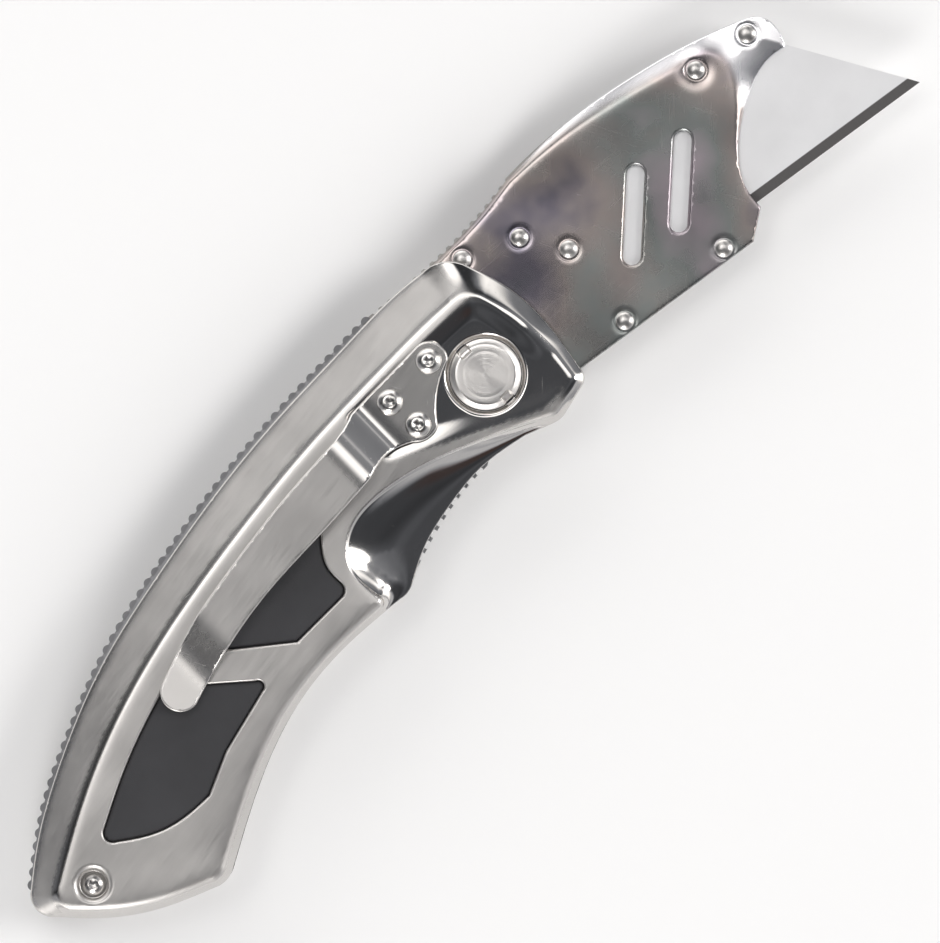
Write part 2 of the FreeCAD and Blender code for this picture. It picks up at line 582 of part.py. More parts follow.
def carrier_rivets():
    """Seven rivets, each a shank with a domed head on both plates."""
    rivets = []
    for at in CARRIER_RIVETS:
        face = PLATE_OUT - BEAK_DROP if at[0] > BEAK_X else PLATE_OUT
        rim = face + RIVET_RIM
        head = post(RIVET_HEAD_R, face, rim, at).fuse(dome(RIVET_HEAD_R, RIVET_CROWN, rim, at))
        rivets.append(one_solid(post(RIVET_R, -face, face, at).fuse([head, mirrored(head)])))
    return group(rivets)


def blade():
    """Trapezoid blade with a ground edge and two notches in its back."""
    slant = BLADE_WIDTH / math.tan(math.radians(BLADE_END_ANGLE))
    corners = [blade_point(0, 0), blade_point(slant, BLADE_WIDTH),
               blade_point(BLADE_LENGTH - slant, BLADE_WIDTH), blade_point(BLADE_LENGTH, 0)]
    half = BLADE_THICK / 2
    body = Part.Face(Part.makePolygon(corners + corners[:1])).extrude(Vector(0, 0, BLADE_THICK))
    body.translate(Vector(0, 0, -half))
    for side in (1, -1):
        section = [blade_point(-5, -1, side * EDGE_HALF), blade_point(-5, 0, side * EDGE_HALF),
                   blade_point(-5, BLADE_BEVEL, side * half), blade_point(-5, BLADE_BEVEL, side),
                   blade_point(-5, -1, side)]
        wedge = Part.Face(Part.makePolygon(section + section[:1])).extrude(blade_axes()[0] * -80)
        body = body.cut(wedge)
    for back in (BLADE_LENGTH / 2 - BLADE_NOTCH_X, BLADE_LENGTH / 2 + BLADE_NOTCH_X):
        foot = blade_point(back, BLADE_WIDTH)
        body = body.cut(post(BLADE_NOTCH_R, -1, 1, (foot.x, foot.y)))
    return one_solid(body)


# ---- Belt clip and screws ----------------------------------------------------------------------
def clip_profile(points):
    """A strip CLIP_THICK thick above the points, wider than the clip, across the handle."""
    upper = []
    for k, (x, z) in enumerate(points):
        before = points[max(k - 1, 0)]
        after = points[min(k + 1, len(points) - 1)]
        dx, dz = after[0] - before[0], after[1] - before[1]
        size = math.hypot(dx, dz)
        upper.append((x + dz / size * CLIP_THICK, z - dx / size * CLIP_THICK))
    ring = [Vector(x, -20, z) for x, z in points + upper[::-1]]
    return Part.Face(Part.makePolygon(ring + ring[:1])).extrude(Vector(0, 40, 0))


def part_way(start, end, share):
    """The point that lies the given share of the way from start to end."""
    return start[0] + (end[0] - start[0]) * share, start[1] + (end[1] - start[1]) * share


def rounded_side():
    """The clip's side line with its corners eased into short chords of a curve."""
    eased = [CLIP_SIDE[0]]
    for before, corner, after in zip(CLIP_SIDE, CLIP_SIDE[1:], CLIP_SIDE[2:]):
        start = part_way(corner, before, min(CLIP_EASE / math.dist(before, corner), 0.45))
        end = part_way(corner, after, min(CLIP_EASE / math.dist(after, corner), 0.45))
        for t in (0.0, 0.25, 0.5, 0.75, 1.0):
            eased.append(part_way(part_way(start, corner, t), part_way(corner, end, t), t))
    return eased + [CLIP_SIDE[-1]]


def belt_clip(outline):
    """One end of the clip: the bent strip cut to its plan outline."""
    return one_solid(clip_profile(rounded_side()).common(plate(outline, 0, ABOVE)))


def belt_clip_base():
    return belt_clip(CLIP_PAD).cut([post(SCREW_R + RUNNING, 0, ABOVE, at) for at in CLIP_SCREWS])


def button_screw(at, seat, end, shank_r, head_r, head_h):
    """A button-head hex-socket screw whose head stands on seat and whose shank reaches down to end."""
    head = post(head_r, seat, seat + HEAD_RIM, at).fuse(dome(head_r, head_h - HEAD_RIM, seat + HEAD_RIM, at))
    screw = head.fuse(post(shank_r, end, seat, at))
    return one_solid(screw.cut(hexagon(HEX_FLAT, seat + head_h - HEX_DEPTH, ABOVE, at)))


def small_screws(seat):
    """The three screws of a side, with their heads at the given height."""
    size = (SCREW_R, SCREW_HEAD_R, SCREW_HEAD_H)
    return group([button_screw(at, seat, GAP_HALF, *size) for at in CLIP_SCREWS])


def clip_screws():
    return small_screws(DISH_FLOOR + CLIP_THICK)


def rear_screws():
    return mirrored(small_screws(REAR_SEAT))


def tail_screws():
    one = button_screw(TAIL_SCREW, TAIL_SEAT, 0.4, TAIL_SHANK_R, TAIL_HEAD_R, TAIL_HEAD_H)
    return group([one, mirrored(one)])


def tail_standoff():
    """A threaded post between the liners at the tail."""
    return post(STANDOFF_R, -GAP_HALF, GAP_HALF, TAIL_SCREW).cut(post(TAIL_SHANK_R, -3, 3, TAIL_SCREW))


# ---- Every node --------------------------------------------------------------------------------
def nodes():
    aft, fore, front_plate = inlay(AFT_WINDOW), inlay(FORE_WINDOW), carrier_plate()
    return {
        "front_scale": scale(True),
        "rear_scale": mirrored(scale(False)),
        "front_inlay_aft": aft,
        "front_inlay_fore": fore,
        "rear_inlay_aft": mirrored(aft),
        "rear_inlay_fore": mirrored(fore),
        "front_liner": front_liner(),
        "rear_liner": rear_liner(),
        "lock_bar": lock_bar(),
        "detent_ball": detent_ball(),
        "backspacer": backspacer(),
        "backspacer_pins": spacer_pins(),
        "closed_stop_pin": closed_stop_pin(),
        "pivot_screw": pivot_screw(),
        "pivot_sleeve": pivot_sleeve(),
        "pivot_washer": pivot_washer(),
        "carrier_core": carrier_core(),
        "carrier_front_plate": front_plate,
        "carrier_rear_plate": carrier_rear_plate(),
        "blade_spring": blade_spring(),
        "carrier_rivets": carrier_rivets(),
        "lock_cam": lock_cam(),
        "blade": blade(),
        "belt_clip_base": belt_clip_base(),
        "belt_clip_arm": belt_clip(CLIP_ARM),
        "clip_screws": clip_screws(),
        "rear_screws": rear_screws(),
        "tail_screws": tail_screws(),
        "tail_standoff": tail_standoff(),
    }


def main():
    os.makedirs("parts", exist_ok=True)
    whole = FreeCAD.BoundBox()
    for name, shape in nodes().items():
        shape.translate(FRAME_SHIFT)
        whole.add(shape.BoundBox)
        if not shape.isValid():
            print("not valid:", name)
        shape.exportStep("parts/%s.step" % name)
    print("whole box", whole)


main()
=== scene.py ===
import json
import math

import bmesh
import bpy
import numpy as np
from mathutils import Matrix, Vector
from mathutils.geometry import delaunay_2d_cdt


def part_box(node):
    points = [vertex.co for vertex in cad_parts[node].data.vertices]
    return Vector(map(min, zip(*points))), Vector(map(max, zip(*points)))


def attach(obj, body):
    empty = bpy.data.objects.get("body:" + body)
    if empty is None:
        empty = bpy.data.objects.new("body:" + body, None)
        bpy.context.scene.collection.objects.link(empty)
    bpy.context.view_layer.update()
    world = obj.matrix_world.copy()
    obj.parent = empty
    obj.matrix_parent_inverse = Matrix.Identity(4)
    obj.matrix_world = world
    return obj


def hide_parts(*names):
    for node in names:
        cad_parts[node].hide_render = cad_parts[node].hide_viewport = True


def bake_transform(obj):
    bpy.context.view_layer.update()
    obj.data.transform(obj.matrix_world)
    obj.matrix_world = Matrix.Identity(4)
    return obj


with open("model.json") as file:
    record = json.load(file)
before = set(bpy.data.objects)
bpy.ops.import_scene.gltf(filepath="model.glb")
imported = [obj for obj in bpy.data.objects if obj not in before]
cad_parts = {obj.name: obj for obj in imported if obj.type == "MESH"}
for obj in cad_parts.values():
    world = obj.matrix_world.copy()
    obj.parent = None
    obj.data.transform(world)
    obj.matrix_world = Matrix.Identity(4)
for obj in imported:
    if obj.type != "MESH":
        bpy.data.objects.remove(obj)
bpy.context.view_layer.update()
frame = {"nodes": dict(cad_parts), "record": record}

bl_info = {
    "name": "Folding Utility Knife",
    "version": (1, 0, 0),
    "blender": (4, 5, 0),
    "location": "View3D > Sidebar > Knife",
    "description": "Builds the looks of a folding utility knife round its CAD frame",
    "category": "Add Mesh",
}

MM = 0.001
JOINTS = frame["record"]["behaviour"]["joints"]
PIVOT = np.array(next(joint["pos_m"] for joint in JOINTS if joint["name"] == "carrier_fold"))

# ---- Sizes in millimetres. What height_of gives comes from the CAD model ------------------------


def height_of(node, corner):
    """How high a node's lowest (0) or highest (1) corner stands over the handle's mid-plane."""
    return (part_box(node)[corner][2] - PIVOT[2]) / MM


LINER_OUT = height_of("front_liner", 1)
SCALE_OUT = height_of("front_scale", 1)
SCALE_FOOT_Z = 4.6          # height where the facets of a scale start
FRONT_FOOT_RISE = 1.0       # how much higher the facets start at the front end
PAD_FLOOR = height_of("belt_clip_base", 0)
INLAY_OUT = height_of("front_inlay_aft", 1)
INLAY_IN = height_of("front_inlay_aft", 0)
PLATE_IN = height_of("carrier_front_plate", 0)
PLATE_OUT = height_of("carrier_front_plate", 1)
PLATE_EDGE_Z = 0.6          # height of a carrier plate's outline, at the foot of its bevel
SPACER_HALF = height_of("backspacer", 1)
DISC_TOP = height_of("pivot_screw", 1)
DISC_R = 5.2
DISC_FLAT_R = 4.35          # where a pivot disc's chamfer starts
DISC_GROOVE_R = 3.35        # radius of the fine groove round its spun centre
PIVOT_SEAT = 5.4            # height of the floor of the seat round the pivot disc
PIVOT_SEAT_R = 5.5
TAIL_SEAT = 5.3             # the same for the tail screws
TAIL_SEAT_R = 2.1
REAR_SEAT = 5.5             # the same for the rear scale's screws
REAR_SEAT_R = 2.15
CLIP_THICK = 1.0
CLIP_SCREWS = [(-12.8, 6.7), (-4.6, 7.1), (-12.1, 1.5)]
CARRIER_RIVETS = [(9.2, 14.4), (17.4, 10.9), (21.4, 4.7), (20.0, -8.5), (37.7, -10.9), (52.8, 10.6),
                  (61.8, 9.2)]
TAIL_SCREW = (-92.3, -13.7)
SPANNER_R = 0.9
SPANNER_DEPTH = 1.3
SPANNER_REACH = 1.35        # how far a spanner notch runs in from the rim
RIVET_MOAT_R = 1.55         # radius of the dent round each rivet
RIVET_MOAT = 0.09           # depth of that dent
BARREL_R = 2.95
VIEW_MIDDLE = (-11.41, -8.58)   # what the camera looks at
BEAK_X = 55.0               # a rivet past this x stands on the beak, which lies lower
BEAK_DROP = 0.22
BLADE_TIP = (75.1, -13.3)
BLADE_TILT = 7.6

# ---- Outlines: closed rows of segments that each start where the one before ends ---------------
SCALE_FOOT = [
    ("spline", [(0, 17.4), (-12, 17.15), (-25, 16.5), (-40, 14.8), (-55, 12.0), (-70, 8.15),
                (-84, 2.15), (-94, -3.7), (-100, -8.4)]),
    ("arc", [(-100.9, -10.8), (-99.5, -13.4)]),
    ("spline", [(-95, -18.0), (-88, -22.9), (-80, -26.3)]),
    ("arc", [(-78.1, -26.7), (-76.2, -26.1)]),
    ("spline", [(-66, -20.5), (-55, -16.1), (-43, -14.35), (-31.5, -14.9)]),
    ("arc", [(-30.0, -14.95), (-28.6, -14.4)]),
    ("spline", [(-24, -12.0), (-17, -10.1), (-10, -9.3), (-2.0, -10.4)]),
    ("line", [(2.4, -12.0)]),
    ("arc", [(3.4, -12.2), (4.4, -12.1)]),
    ("line", [(9.0, -10.9)]),
    ("arc", [(10.1, -10.2), (10.5, -9.0)]),
    ("spline", [(11.5, -2), (11.3, 6), (8.9, 13.5)]),
    ("arc", [(7.4, 15.6), (5.0, 16.9)]),
]
SCALE_RIM = [
    ("spline", [(0, 10.9), (-12, 10.65), (-25, 10.0), (-40, 8.3), (-55, 5.8), (-70, 1.9),
                (-80, -1.9), (-90, -7.0), (-96.2, -10.6)]),
    ("arc", [(-97.4, -12.2), (-97.2, -14.1)]),
    ("spline", [(-93.5, -17.6), (-87, -22.2), (-79.8, -25.4)]),
    ("arc", [(-78.2, -25.75), (-76.6, -25.2)]),
    ("spline", [(-66, -19.5), (-55, -15.15), (-45, -13.6), (-34.4, -13.7)]),
    ("arc", [(-33.7, -13.2), (-33.8, -12.2)]),
    ("spline", [(-33.6, -6.2), (-30, -2.6), (-22, -1.8), (-1.0, -9.0)]),
    ("line", [(2.8, -11.0)]),
    ("arc", [(3.5, -11.2), (4.2, -11.1)]),
    ("line", [(8.0, -10.0)]),
    ("arc", [(8.9, -9.4), (9.2, -8.4)]),
    ("spline", [(9.6, -3), (9.2, 3), (7.6, 8.2)]),
    ("arc", [(6.5, 10.0), (4.6, 10.8)]),
]
# The sides of the dish round the pivot: a point where its wall meets the land, its inward direction in
# degrees and the wall's width there.
DISH_SIDES = [((4.2, 10.25), 269.0, 3.4), ((-12.0, 10.15), 270.5, 1.0), ((-19.6, 4.0), 0.0, 1.8),
              ((-15.5, -2.6), 62.0, 3.4), ((-2.0, -8.5), 65.0, 4.2), ((6.5, -10.0), 105.0, 3.0),
              ((8.9, -3.0), 178.5, 3.4), ((8.1, 6.5), 196.0, 3.4)]
DISH_BLEND = 0.24           # how softly two sides of the dish meet
AFT_WINDOW = [
    ("spline", [(-70, -1.9), (-78, -5.1), (-85.6, -9.0)]),
    ("arc", [(-86.45, -10.3), (-85.6, -11.6)]),
    ("spline", [(-80, -14.9), (-75, -16.0), (-71.2, -16.1)]),
    ("line", [(-65, -13.2)]),
    ("line", [(-55.2, -10.6)]),
    ("arc", [(-54.3, -9.9), (-54.9, -8.8)]),
    ("line", [(-65.0, -0.3)]),
]
FORE_WINDOW = [
    ("spline", [(-42, 4.5), (-50, 2.8), (-58.2, 0.0)]),
    ("line", [(-46.6, -8.95)]),
    ("line", [(-37.4, -8.8)]),
    ("arc", [(-36.4, -8.3), (-36.05, -7.2)]),
    ("spline", [(-35.9, -4.0), (-34.0, -0.9), (-31.5, 1.9)]),
    ("arc", [(-31.2, 4.4), (-33.5, 5.5)]),
]
SPACER_SPINE = [(-7.2, 18.3), (-25, 17.55), (-40, 15.95), (-55, 13.2), (-70, 9.2), (-80, 5.0), (-90, -0.1),
                (-99.4, -7.1)]
SPACER_INNER = [(-98.4, -12.0), (-94.6, -10.0), (-86, -4.6), (-76, 1.6), (-62, 6.6), (-45, 10.4), (-30, 12.2),
                (-7.2, 12.9)]
TANG_R = 8.5
TANG_FOOT = (TANG_R * math.cos(math.radians(-92)), TANG_R * math.sin(math.radians(-92)))
TANG_BACK = (TANG_R * math.cos(math.radians(135)), TANG_R * math.sin(math.radians(135)))
CARRIER = [
    ("line", [(11.0, -9.1)]),
    ("line", [(41.5, -13.2)]),
    ("line", [(45.8, -10.3)]),
    ("spline", [(46.2, -6.8), (49, -2.3), (53.5, 1.3), (58.5, 3.8)]),
    ("spline", [(61.5, 4.4), (64.6, 4.0)]),
    ("arc", [(65.45, 6.0), (65.6, 8.2)]),
    ("spline", [(64.9, 9.8), (63.4, 10.9)]),
    ("spline", [(55, 14.0), (45, 16.5), (33, 18.3), (22.0, 18.5)]),
    ("spline", [(15, 17.55), (7, 17.25), (0, 17.5), (-7.0, 17.9)]),
    ("line", [(-6.7, 12.0)]),
    ("line", [TANG_BACK]),
    ("arc", [(-TANG_R, 0.0), TANG_FOOT]),
]
# A plate's outline is the core's, but its spine lies a little lower than the core's thumb notches.
PLATE_OUTLINE = CARRIER[:7] + [
    ("spline", [(55, 14.0), (45, 16.5), (33, 18.25), (22.0, 18.3)]),
    ("spline", [(15, 17.2), (7, 16.9), (0, 17.15), (-7.0, 17.5)]),
    ("line", [(-6.7, 12.0)]),
] + CARRIER[10:]
# The flat of a carrier plate; the bevelled spine and beak lie between it and the outline.
CARRIER_FLAT = [
    ("line", [(56.0, -22.0)]),
    ("line", [(52.0, 0.0)]),
    ("spline", [(54.6, 4.2), (56.4, 8.0)]),
    ("arc", [(56.5, 9.6), (55.2, 11.6)]),
    ("spline", [(49, 13.2), (41, 15.2), (31, 17.1), (22.0, 17.95)]),
    ("spline", [(15, 17.2), (7, 16.9), (-8.0, 17.5)]),
    ("line", [(-14.0, 0.0)]),
    ("line", [(0.0, -14.0)]),
]
PLATE_SLOTS = [((27.3, -2.4), (36.0, 5.8)), ((35.5, -3.7), (44.4, 4.6))]
PLATE_SLOT_R = 1.3
CLIP_PLAN = [
    ("line", [(-5.0, 9.9)]),
    ("arc", [(-2.0, 8.3), (-2.35, 5.4)]),
    ("arc", [(-7.3, 2.6), (-10.1, -0.5)]),
    ("arc", [(-12.4, -0.9), (-14.4, 0.2)]),
    ("spline", [(-18.0, 1.5), (-22.5, 0.7)]),
    ("spline", [(-33, -0.1), (-44, -0.8), (-55, -2.8), (-63.4, -5.3)]),
    ("arc", [(-66.6, -2.9), (-64.5, 0.4)]),
    ("spline", [(-56, 3.4), (-46, 5.5), (-35, 7.15), (-22.5, 8.2)]),
    ("spline", [(-20.4, 8.6), (-18.0, 9.4)]),
]
# Underside of the clip seen from the side: (x, height).
CLIP_SIDE = [(2.0, PAD_FLOOR), (-17.2, PAD_FLOOR), (-21.6, 9.3), (-23.6, 9.6), (-54.0, 8.9), (-58.6, 7.35),
             (-60.5, 7.4), (-68.0, 8.65)]


# ---- Plane geometry ----------------------------------------------------------------------------
def spline(points, step):
    """A natural cubic spline through the points, sampled every step."""
    knots = np.array(points, float)
    along = np.concatenate([[0], np.cumsum(np.linalg.norm(np.diff(knots, axis=0), axis=1))])
    gap = np.diff(along)
    count = len(knots)
    system, bend = np.eye(count), np.zeros((count, 2))
    for i in range(1, count - 1):
        system[i, i - 1:i + 2] = gap[i - 1], 2 * (gap[i - 1] + gap[i]), gap[i]
        bend[i] = 6 * ((knots[i + 1] - knots[i]) / gap[i] - (knots[i] - knots[i - 1]) / gap[i - 1])
    second = np.linalg.solve(system, bend)
    t = np.linspace(0, along[-1], max(3, int(along[-1] / step) + 2))
    k = np.clip(np.searchsorted(along, t, side="right") - 1, 0, count - 2)
    a = ((along[k + 1] - t) / gap[k])[:, None]
    b = 1 - a
    curve = a * knots[k] + b * knots[k + 1]
    return curve + ((a**3 - a) * second[k] + (b**3 - b) * second[k + 1]) * (gap[k]**2)[:, None] / 6


def arc(points, step):
    """The arc through three points, sampled every step or every 8 degrees."""
    p, q, r = (complex(*point) for point in points)
    w = (r - p) / (q - p)
    centre = (q - p) * (w - abs(w) ** 2) / (w - w.conjugate()) + p
    start, middle, end = (math.atan2((z - centre).imag, (z - centre).real) for z in (p, q, r))
    turn = (end - start) % (2 * math.pi)
    if (middle - start) % (2 * math.pi) > turn:
        turn -= 2 * math.pi
    radius = abs(p - centre)
    count = max(3, int(abs(turn) * radius / step) + 2, int(abs(turn) / math.radians(8)) + 2)
    angle = start + np.linspace(0, turn, count)
    return np.stack([centre.real + radius * np.cos(angle), centre.imag + radius * np.sin(angle)], axis=1)


def line(points, step):
    a, b = np.array(points, float)
    count = max(2, int(np.linalg.norm(b - a) / step) + 2)
    return a + (b - a) * np.linspace(0, 1, count)[:, None]


SEGMENT = {"spline": spline, "arc": arc, "line": line}


def ring(outline, step=0.6):
    """A closed outline as a loop of points."""
    loop, start = [], outline[-1][1][-1]
    for kind, points in outline:
        loop.append(SEGMENT[kind]([start] + points, step)[:-1])
        start = points[-1]
    return np.concatenate(loop)


def circle(at, radius, step=0.4):
    count = max(24, int(2 * math.pi * radius / step))
    angle = np.arange(count) * 2 * math.pi / count
    return np.stack([at[0] + radius * np.cos(angle), at[1] + radius * np.sin(angle)], axis=1)


def slot_ring(a, b, radius):
    """A round-ended slot as a loop of points."""
    a, b = np.array(a), np.array(b)
    way = (b - a) / np.linalg.norm(b - a)
    side = np.array([-way[1], way[0]])
    half = np.linspace(-math.pi / 2, math.pi / 2, 12)[:, None]
    far = b + radius * (np.cos(half) * way + np.sin(half) * side)
    near = a - radius * (np.cos(half) * way + np.sin(half) * side)
    straight = np.linspace(0, 1, 16)[1:-1, None]
    return np.concatenate([far, far[-1] + (near[0] - far[-1]) * straight, near,
                           near[-1] + (far[0] - near[-1]) * straight])


def distance(loop, p):
    """How far each point lies from a closed loop."""
    best = np.full(len(p), np.inf)
    for a, b in zip(loop, np.roll(loop, -1, axis=0)):
        d = b - a
        t = np.clip(((p - a) @ d) / (d @ d), 0, 1)
        away = p - a - t[:, None] * d
        best = np.minimum(best, np.einsum("ij,ij->i", away, away))
    return np.sqrt(best)


def within(loop, p):
    """Which points lie inside a closed loop."""
    odd = np.zeros(len(p), bool)
    for (ax, ay), (bx, by) in zip(loop, np.roll(loop, -1, axis=0)):
        if ay != by:
            left = p[:, 0] < (bx - ax) * (p[:, 1] - ay) / (by - ay) + ax
            odd ^= ((ay > p[:, 1]) != (by > p[:, 1])) & left
    return odd


def depth(loop, p):
    """Distance from a loop, positive inside it."""
    return np.where(within(loop, p), 1.0, -1.0) * distance(loop, p)


def outward(loop):
    """Unit normals of a loop, pointing out of it."""
    along = np.roll(loop, -1, axis=0) - np.roll(loop, 1, axis=0)
    normal = np.stack([along[:, 1], -along[:, 0]], axis=1)
    normal /= np.linalg.norm(normal, axis=1)[:, None]
    following = np.roll(loop, -1, axis=0)
    turning = np.sum(loop[:, 0] * following[:, 1] - following[:, 0] * loop[:, 1])
    return normal if turning > 0 else -normal


def row(loop, offset):
    """Points beside a loop, on its outer side for a positive offset, without those that crowd a corner."""
    moved = loop + outward(loop) * offset
    return moved[distance(loop, moved) > abs(offset) * 0.9]


def smooth_step(x):
    x = np.clip(x, 0, 1)
    return x * x * (3 - 2 * x)


def round_over(edge_distance, radius):
    """How far a rounded edge has dropped at each distance from the edge."""
    reach = np.clip(radius - edge_distance, 0, radius * 0.995)
    return radius - np.sqrt(radius**2 - reach**2)


# ---- Mesh building -----------------------------------------------------------------------------
def grid(rim, spacing):
    """A triangular grid of points over a loop's box."""
    low, high = rim.min(axis=0), rim.max(axis=0)
    across = np.arange(low[0], high[0], spacing)
    rows = np.arange(low[1], high[1], spacing * math.sqrt(3) / 2)
    x, y = np.meshgrid(across, rows)
    x[1::2] += spacing / 2
    return np.stack([x.ravel(), y.ravel()], axis=1)


def triangles(rim, holes, points):
    """Points and triangles of the sheet inside rim and outside holes, with the loops' own points first."""
    loops = [rim] + holes
    corners = np.concatenate(loops + [points])
    edges, start = [], 0
    for loop in loops:
        edges += [(start + i, start + (i + 1) % len(loop)) for i in range(len(loop))]
        start += len(loop)
    found = delaunay_2d_cdt([Vector(c) for c in corners], edges, [], 0, 1e-6)
    made, faces = np.array([tuple(v) for v in found[0]]), np.array(found[2])
    if len(made) != len(corners):
        raise RuntimeError("two points of an outline coincide")
    middle = made[faces].mean(axis=1)
    keep = within(rim, middle)
    for hole in holes:
        keep &= ~within(hole, middle)
    return made, faces[keep]


def spread(rim, holes, spacing, rows):
    """Inner points for a sheet: the given rows, and a grid that keeps clear of them and of the loops."""
    loops = [rim] + holes
    fixed = np.concatenate(rows) if rows else np.empty((0, 2))
    if len(fixed):
        keep = within(rim, fixed)
        for hole in holes:
            keep &= ~within(hole, fixed)
        for loop in loops:
            keep &= distance(loop, fixed) > 0.04
        fixed = fixed[keep]
        cells = np.round(fixed / 0.1).astype(int)
        fixed = fixed[np.unique(cells, axis=0, return_index=True)[1]]
    free = grid(rim, spacing)
    keep = within(rim, free)
    for hole in holes:
        keep &= ~within(hole, free)
    for loop in loops:
        keep &= distance(loop, free) > spacing * 0.45
    free = free[keep]
    if len(fixed):
        taken = set(map(tuple, np.round(fixed / (spacing * 0.7)).astype(int)))
        cells = np.round(free / (spacing * 0.7)).astype(int)
        free = free[[tuple(cell) not in taken for cell in cells]]
    return np.concatenate([fixed, free])


def steepness(height, p, reach=0.02):
    """Unit normals of the surface z = height(p)."""
    count = len(p)
    shifts = [(reach, 0), (-reach, 0), (0, reach), (0, -reach)]
    z = height(np.concatenate([p + shift for shift in shifts]))
    east, west, north, south = (z[i * count:(i + 1) * count] for i in range(4))
    normal = np.stack([(west - east) / (2 * reach), (south - north) / (2 * reach), np.ones(count)], axis=1)
    return normal / np.linalg.norm(normal, axis=1)[:, None]


def add_object(name, data):
    """A new object in the scene."""
    made = bpy.data.objects.new(name, data)
    bpy.context.scene.collection.objects.link(made)
    return made


def make_mesh(name, points, faces, normals=None, masks=None):
    """A mesh object from points in millimetres about the pivot."""
    mesh = bpy.data.meshes.new(name)
    mesh.from_pydata((np.asarray(points) * MM + PIVOT).tolist(), [], [list(map(int, f)) for f in faces])
    for label, values in (masks or {}).items():
        layer = mesh.attributes.new(label, "FLOAT", "POINT")
        layer.data.foreach_set("value", np.asarray(values, np.float32))
    mesh.polygons.foreach_set("use_smooth", [True] * len(mesh.polygons))
    if normals is not None:
        mesh.normals_split_custom_set(normals)
    return add_object(name, mesh)


def plate(name, rim, holes, top, under, spacing=0.6, rows=(), masks=None, turned_over=False):
    """A closed plate. top gives its upper height from plan points; under is a height, or a function too.

    The upper normals come from the height itself, so a polished face shades cleanly. turned_over makes
    the mirror image on the other side of the handle's mid-plane.
    """
    plan, faces = triangles(rim, holes, spread(rim, holes, spacing, list(rows)))
    loops = [rim] + holes
    edge_count = sum(len(loop) for loop in loops)
    out = np.concatenate([outward(rim)] + [-outward(hole) for hole in holes])
    inward = plan.copy()
    inward[:edge_count] -= out * 0.05
    top_normals = steepness(top, inward)
    count = len(plan)
    upper = np.column_stack([plan, top(plan)])
    if callable(under):
        lower_plan, lower_faces = plan, faces
        lower_z, low_normals = under(plan), -steepness(under, inward)
    else:
        lower_plan, lower_faces = triangles(rim, holes, np.empty((0, 2)))
        lower_z = np.full(edge_count, under)
        low_normals = np.tile([0.0, 0, -1], (edge_count, 1))
    points = np.concatenate([upper, np.column_stack([lower_plan, lower_z])])
    walls, start = [], 0
    wall_normals = np.column_stack([out, np.zeros(edge_count)])
    corner_normals = [top_normals[faces.ravel()], low_normals[lower_faces[:, ::-1].ravel()]]
    for number, loop in enumerate(loops):
        here = start + np.arange(len(loop))
        there = start + (np.arange(len(loop)) + 1) % len(loop)
        following = np.roll(loop, -1, axis=0)
        turning = np.sum(loop[:, 0] * following[:, 1] - following[:, 0] * loop[:, 1]) > 0
        if turning != (number == 0):
            here, there = there, here
        walls.append(np.column_stack([here, here + count, there + count, there]))
        corner_normals.append(wall_normals[np.column_stack([here, here, there, there]).ravel()])
        start += len(loop)
    lower = lower_faces[:, ::-1] + count
    parts = [faces, lower] + walls
    normals = np.concatenate(corner_normals)
    values = {key: np.concatenate([rule(plan), rule(lower_plan)]) for key, rule in (masks or {}).items()}
    if turned_over:
        points[:, 2] *= -1
        normals[:, 2] *= -1
        sizes = [3] * (len(faces) + len(lower)) + [4] * sum(len(w) for w in walls)
        bounds = np.concatenate([[0], np.cumsum(sizes)])
        order = np.concatenate([np.arange(a, b)[::-1] for a, b in zip(bounds[:-1], bounds[1:])])
        normals = normals[order]
        parts = [part[:, ::-1] for part in parts]
    polygons = [face for part in parts for face in part.tolist()]
    return make_mesh(name, points, polygons, normals, values)


def lathe(name, profile, steps=48, turned_over=False):
    """A piece turned about the pivot from (radius, height) pairs. A radius may be one value for each step."""
    sign = -1 if turned_over else 1
    angles = np.arange(steps) * 2 * math.pi / steps
    points, rings = [], []
    for radius, z in profile:
        reach = np.broadcast_to(radius, steps) if np.max(radius) > 1e-6 else np.zeros(1)
        rings.append(np.arange(len(reach)) + len(points))
        points += [(r * math.cos(a), r * math.sin(a), sign * z) for r, a in zip(reach, angles)]
    faces = []
    for low, high in zip(rings, rings[1:]):
        for i in range(steps):
            j = (i + 1) % steps
            corners = [low[i % len(low)], low[j % len(low)], high[j % len(high)], high[i % len(high)]]
            faces.append(list(dict.fromkeys(int(c) for c in corners)))
    piece = make_mesh(name, points, faces)
    sharpen(piece)
    return piece


def sharpen(piece, degrees=32):
    """Faces turned outwards, and smooth shading that breaks at edges sharper than the angle."""
    shape = bmesh.new()
    shape.from_mesh(piece.data)
    bmesh.ops.recalc_face_normals(shape, faces=shape.faces)
    for edge in shape.edges:
        edge.smooth = len(edge.link_faces) == 2 and edge.calc_face_angle(0) < math.radians(degrees)
    shape.to_mesh(piece.data)
    shape.free()


def arc_profile(radius, rise, start, count=8):
    """Points of a shallow dome, from its rim at (radius, start) to its top on the axis."""
    ball = (radius**2 + rise**2) / (2 * rise)
    full = math.asin(min(1.0, radius / ball))
    angles = [full * (1 - k / count) for k in range(count + 1)]
    return [(ball * math.sin(angle), start + rise - ball + ball * math.cos(angle)) for angle in angles]


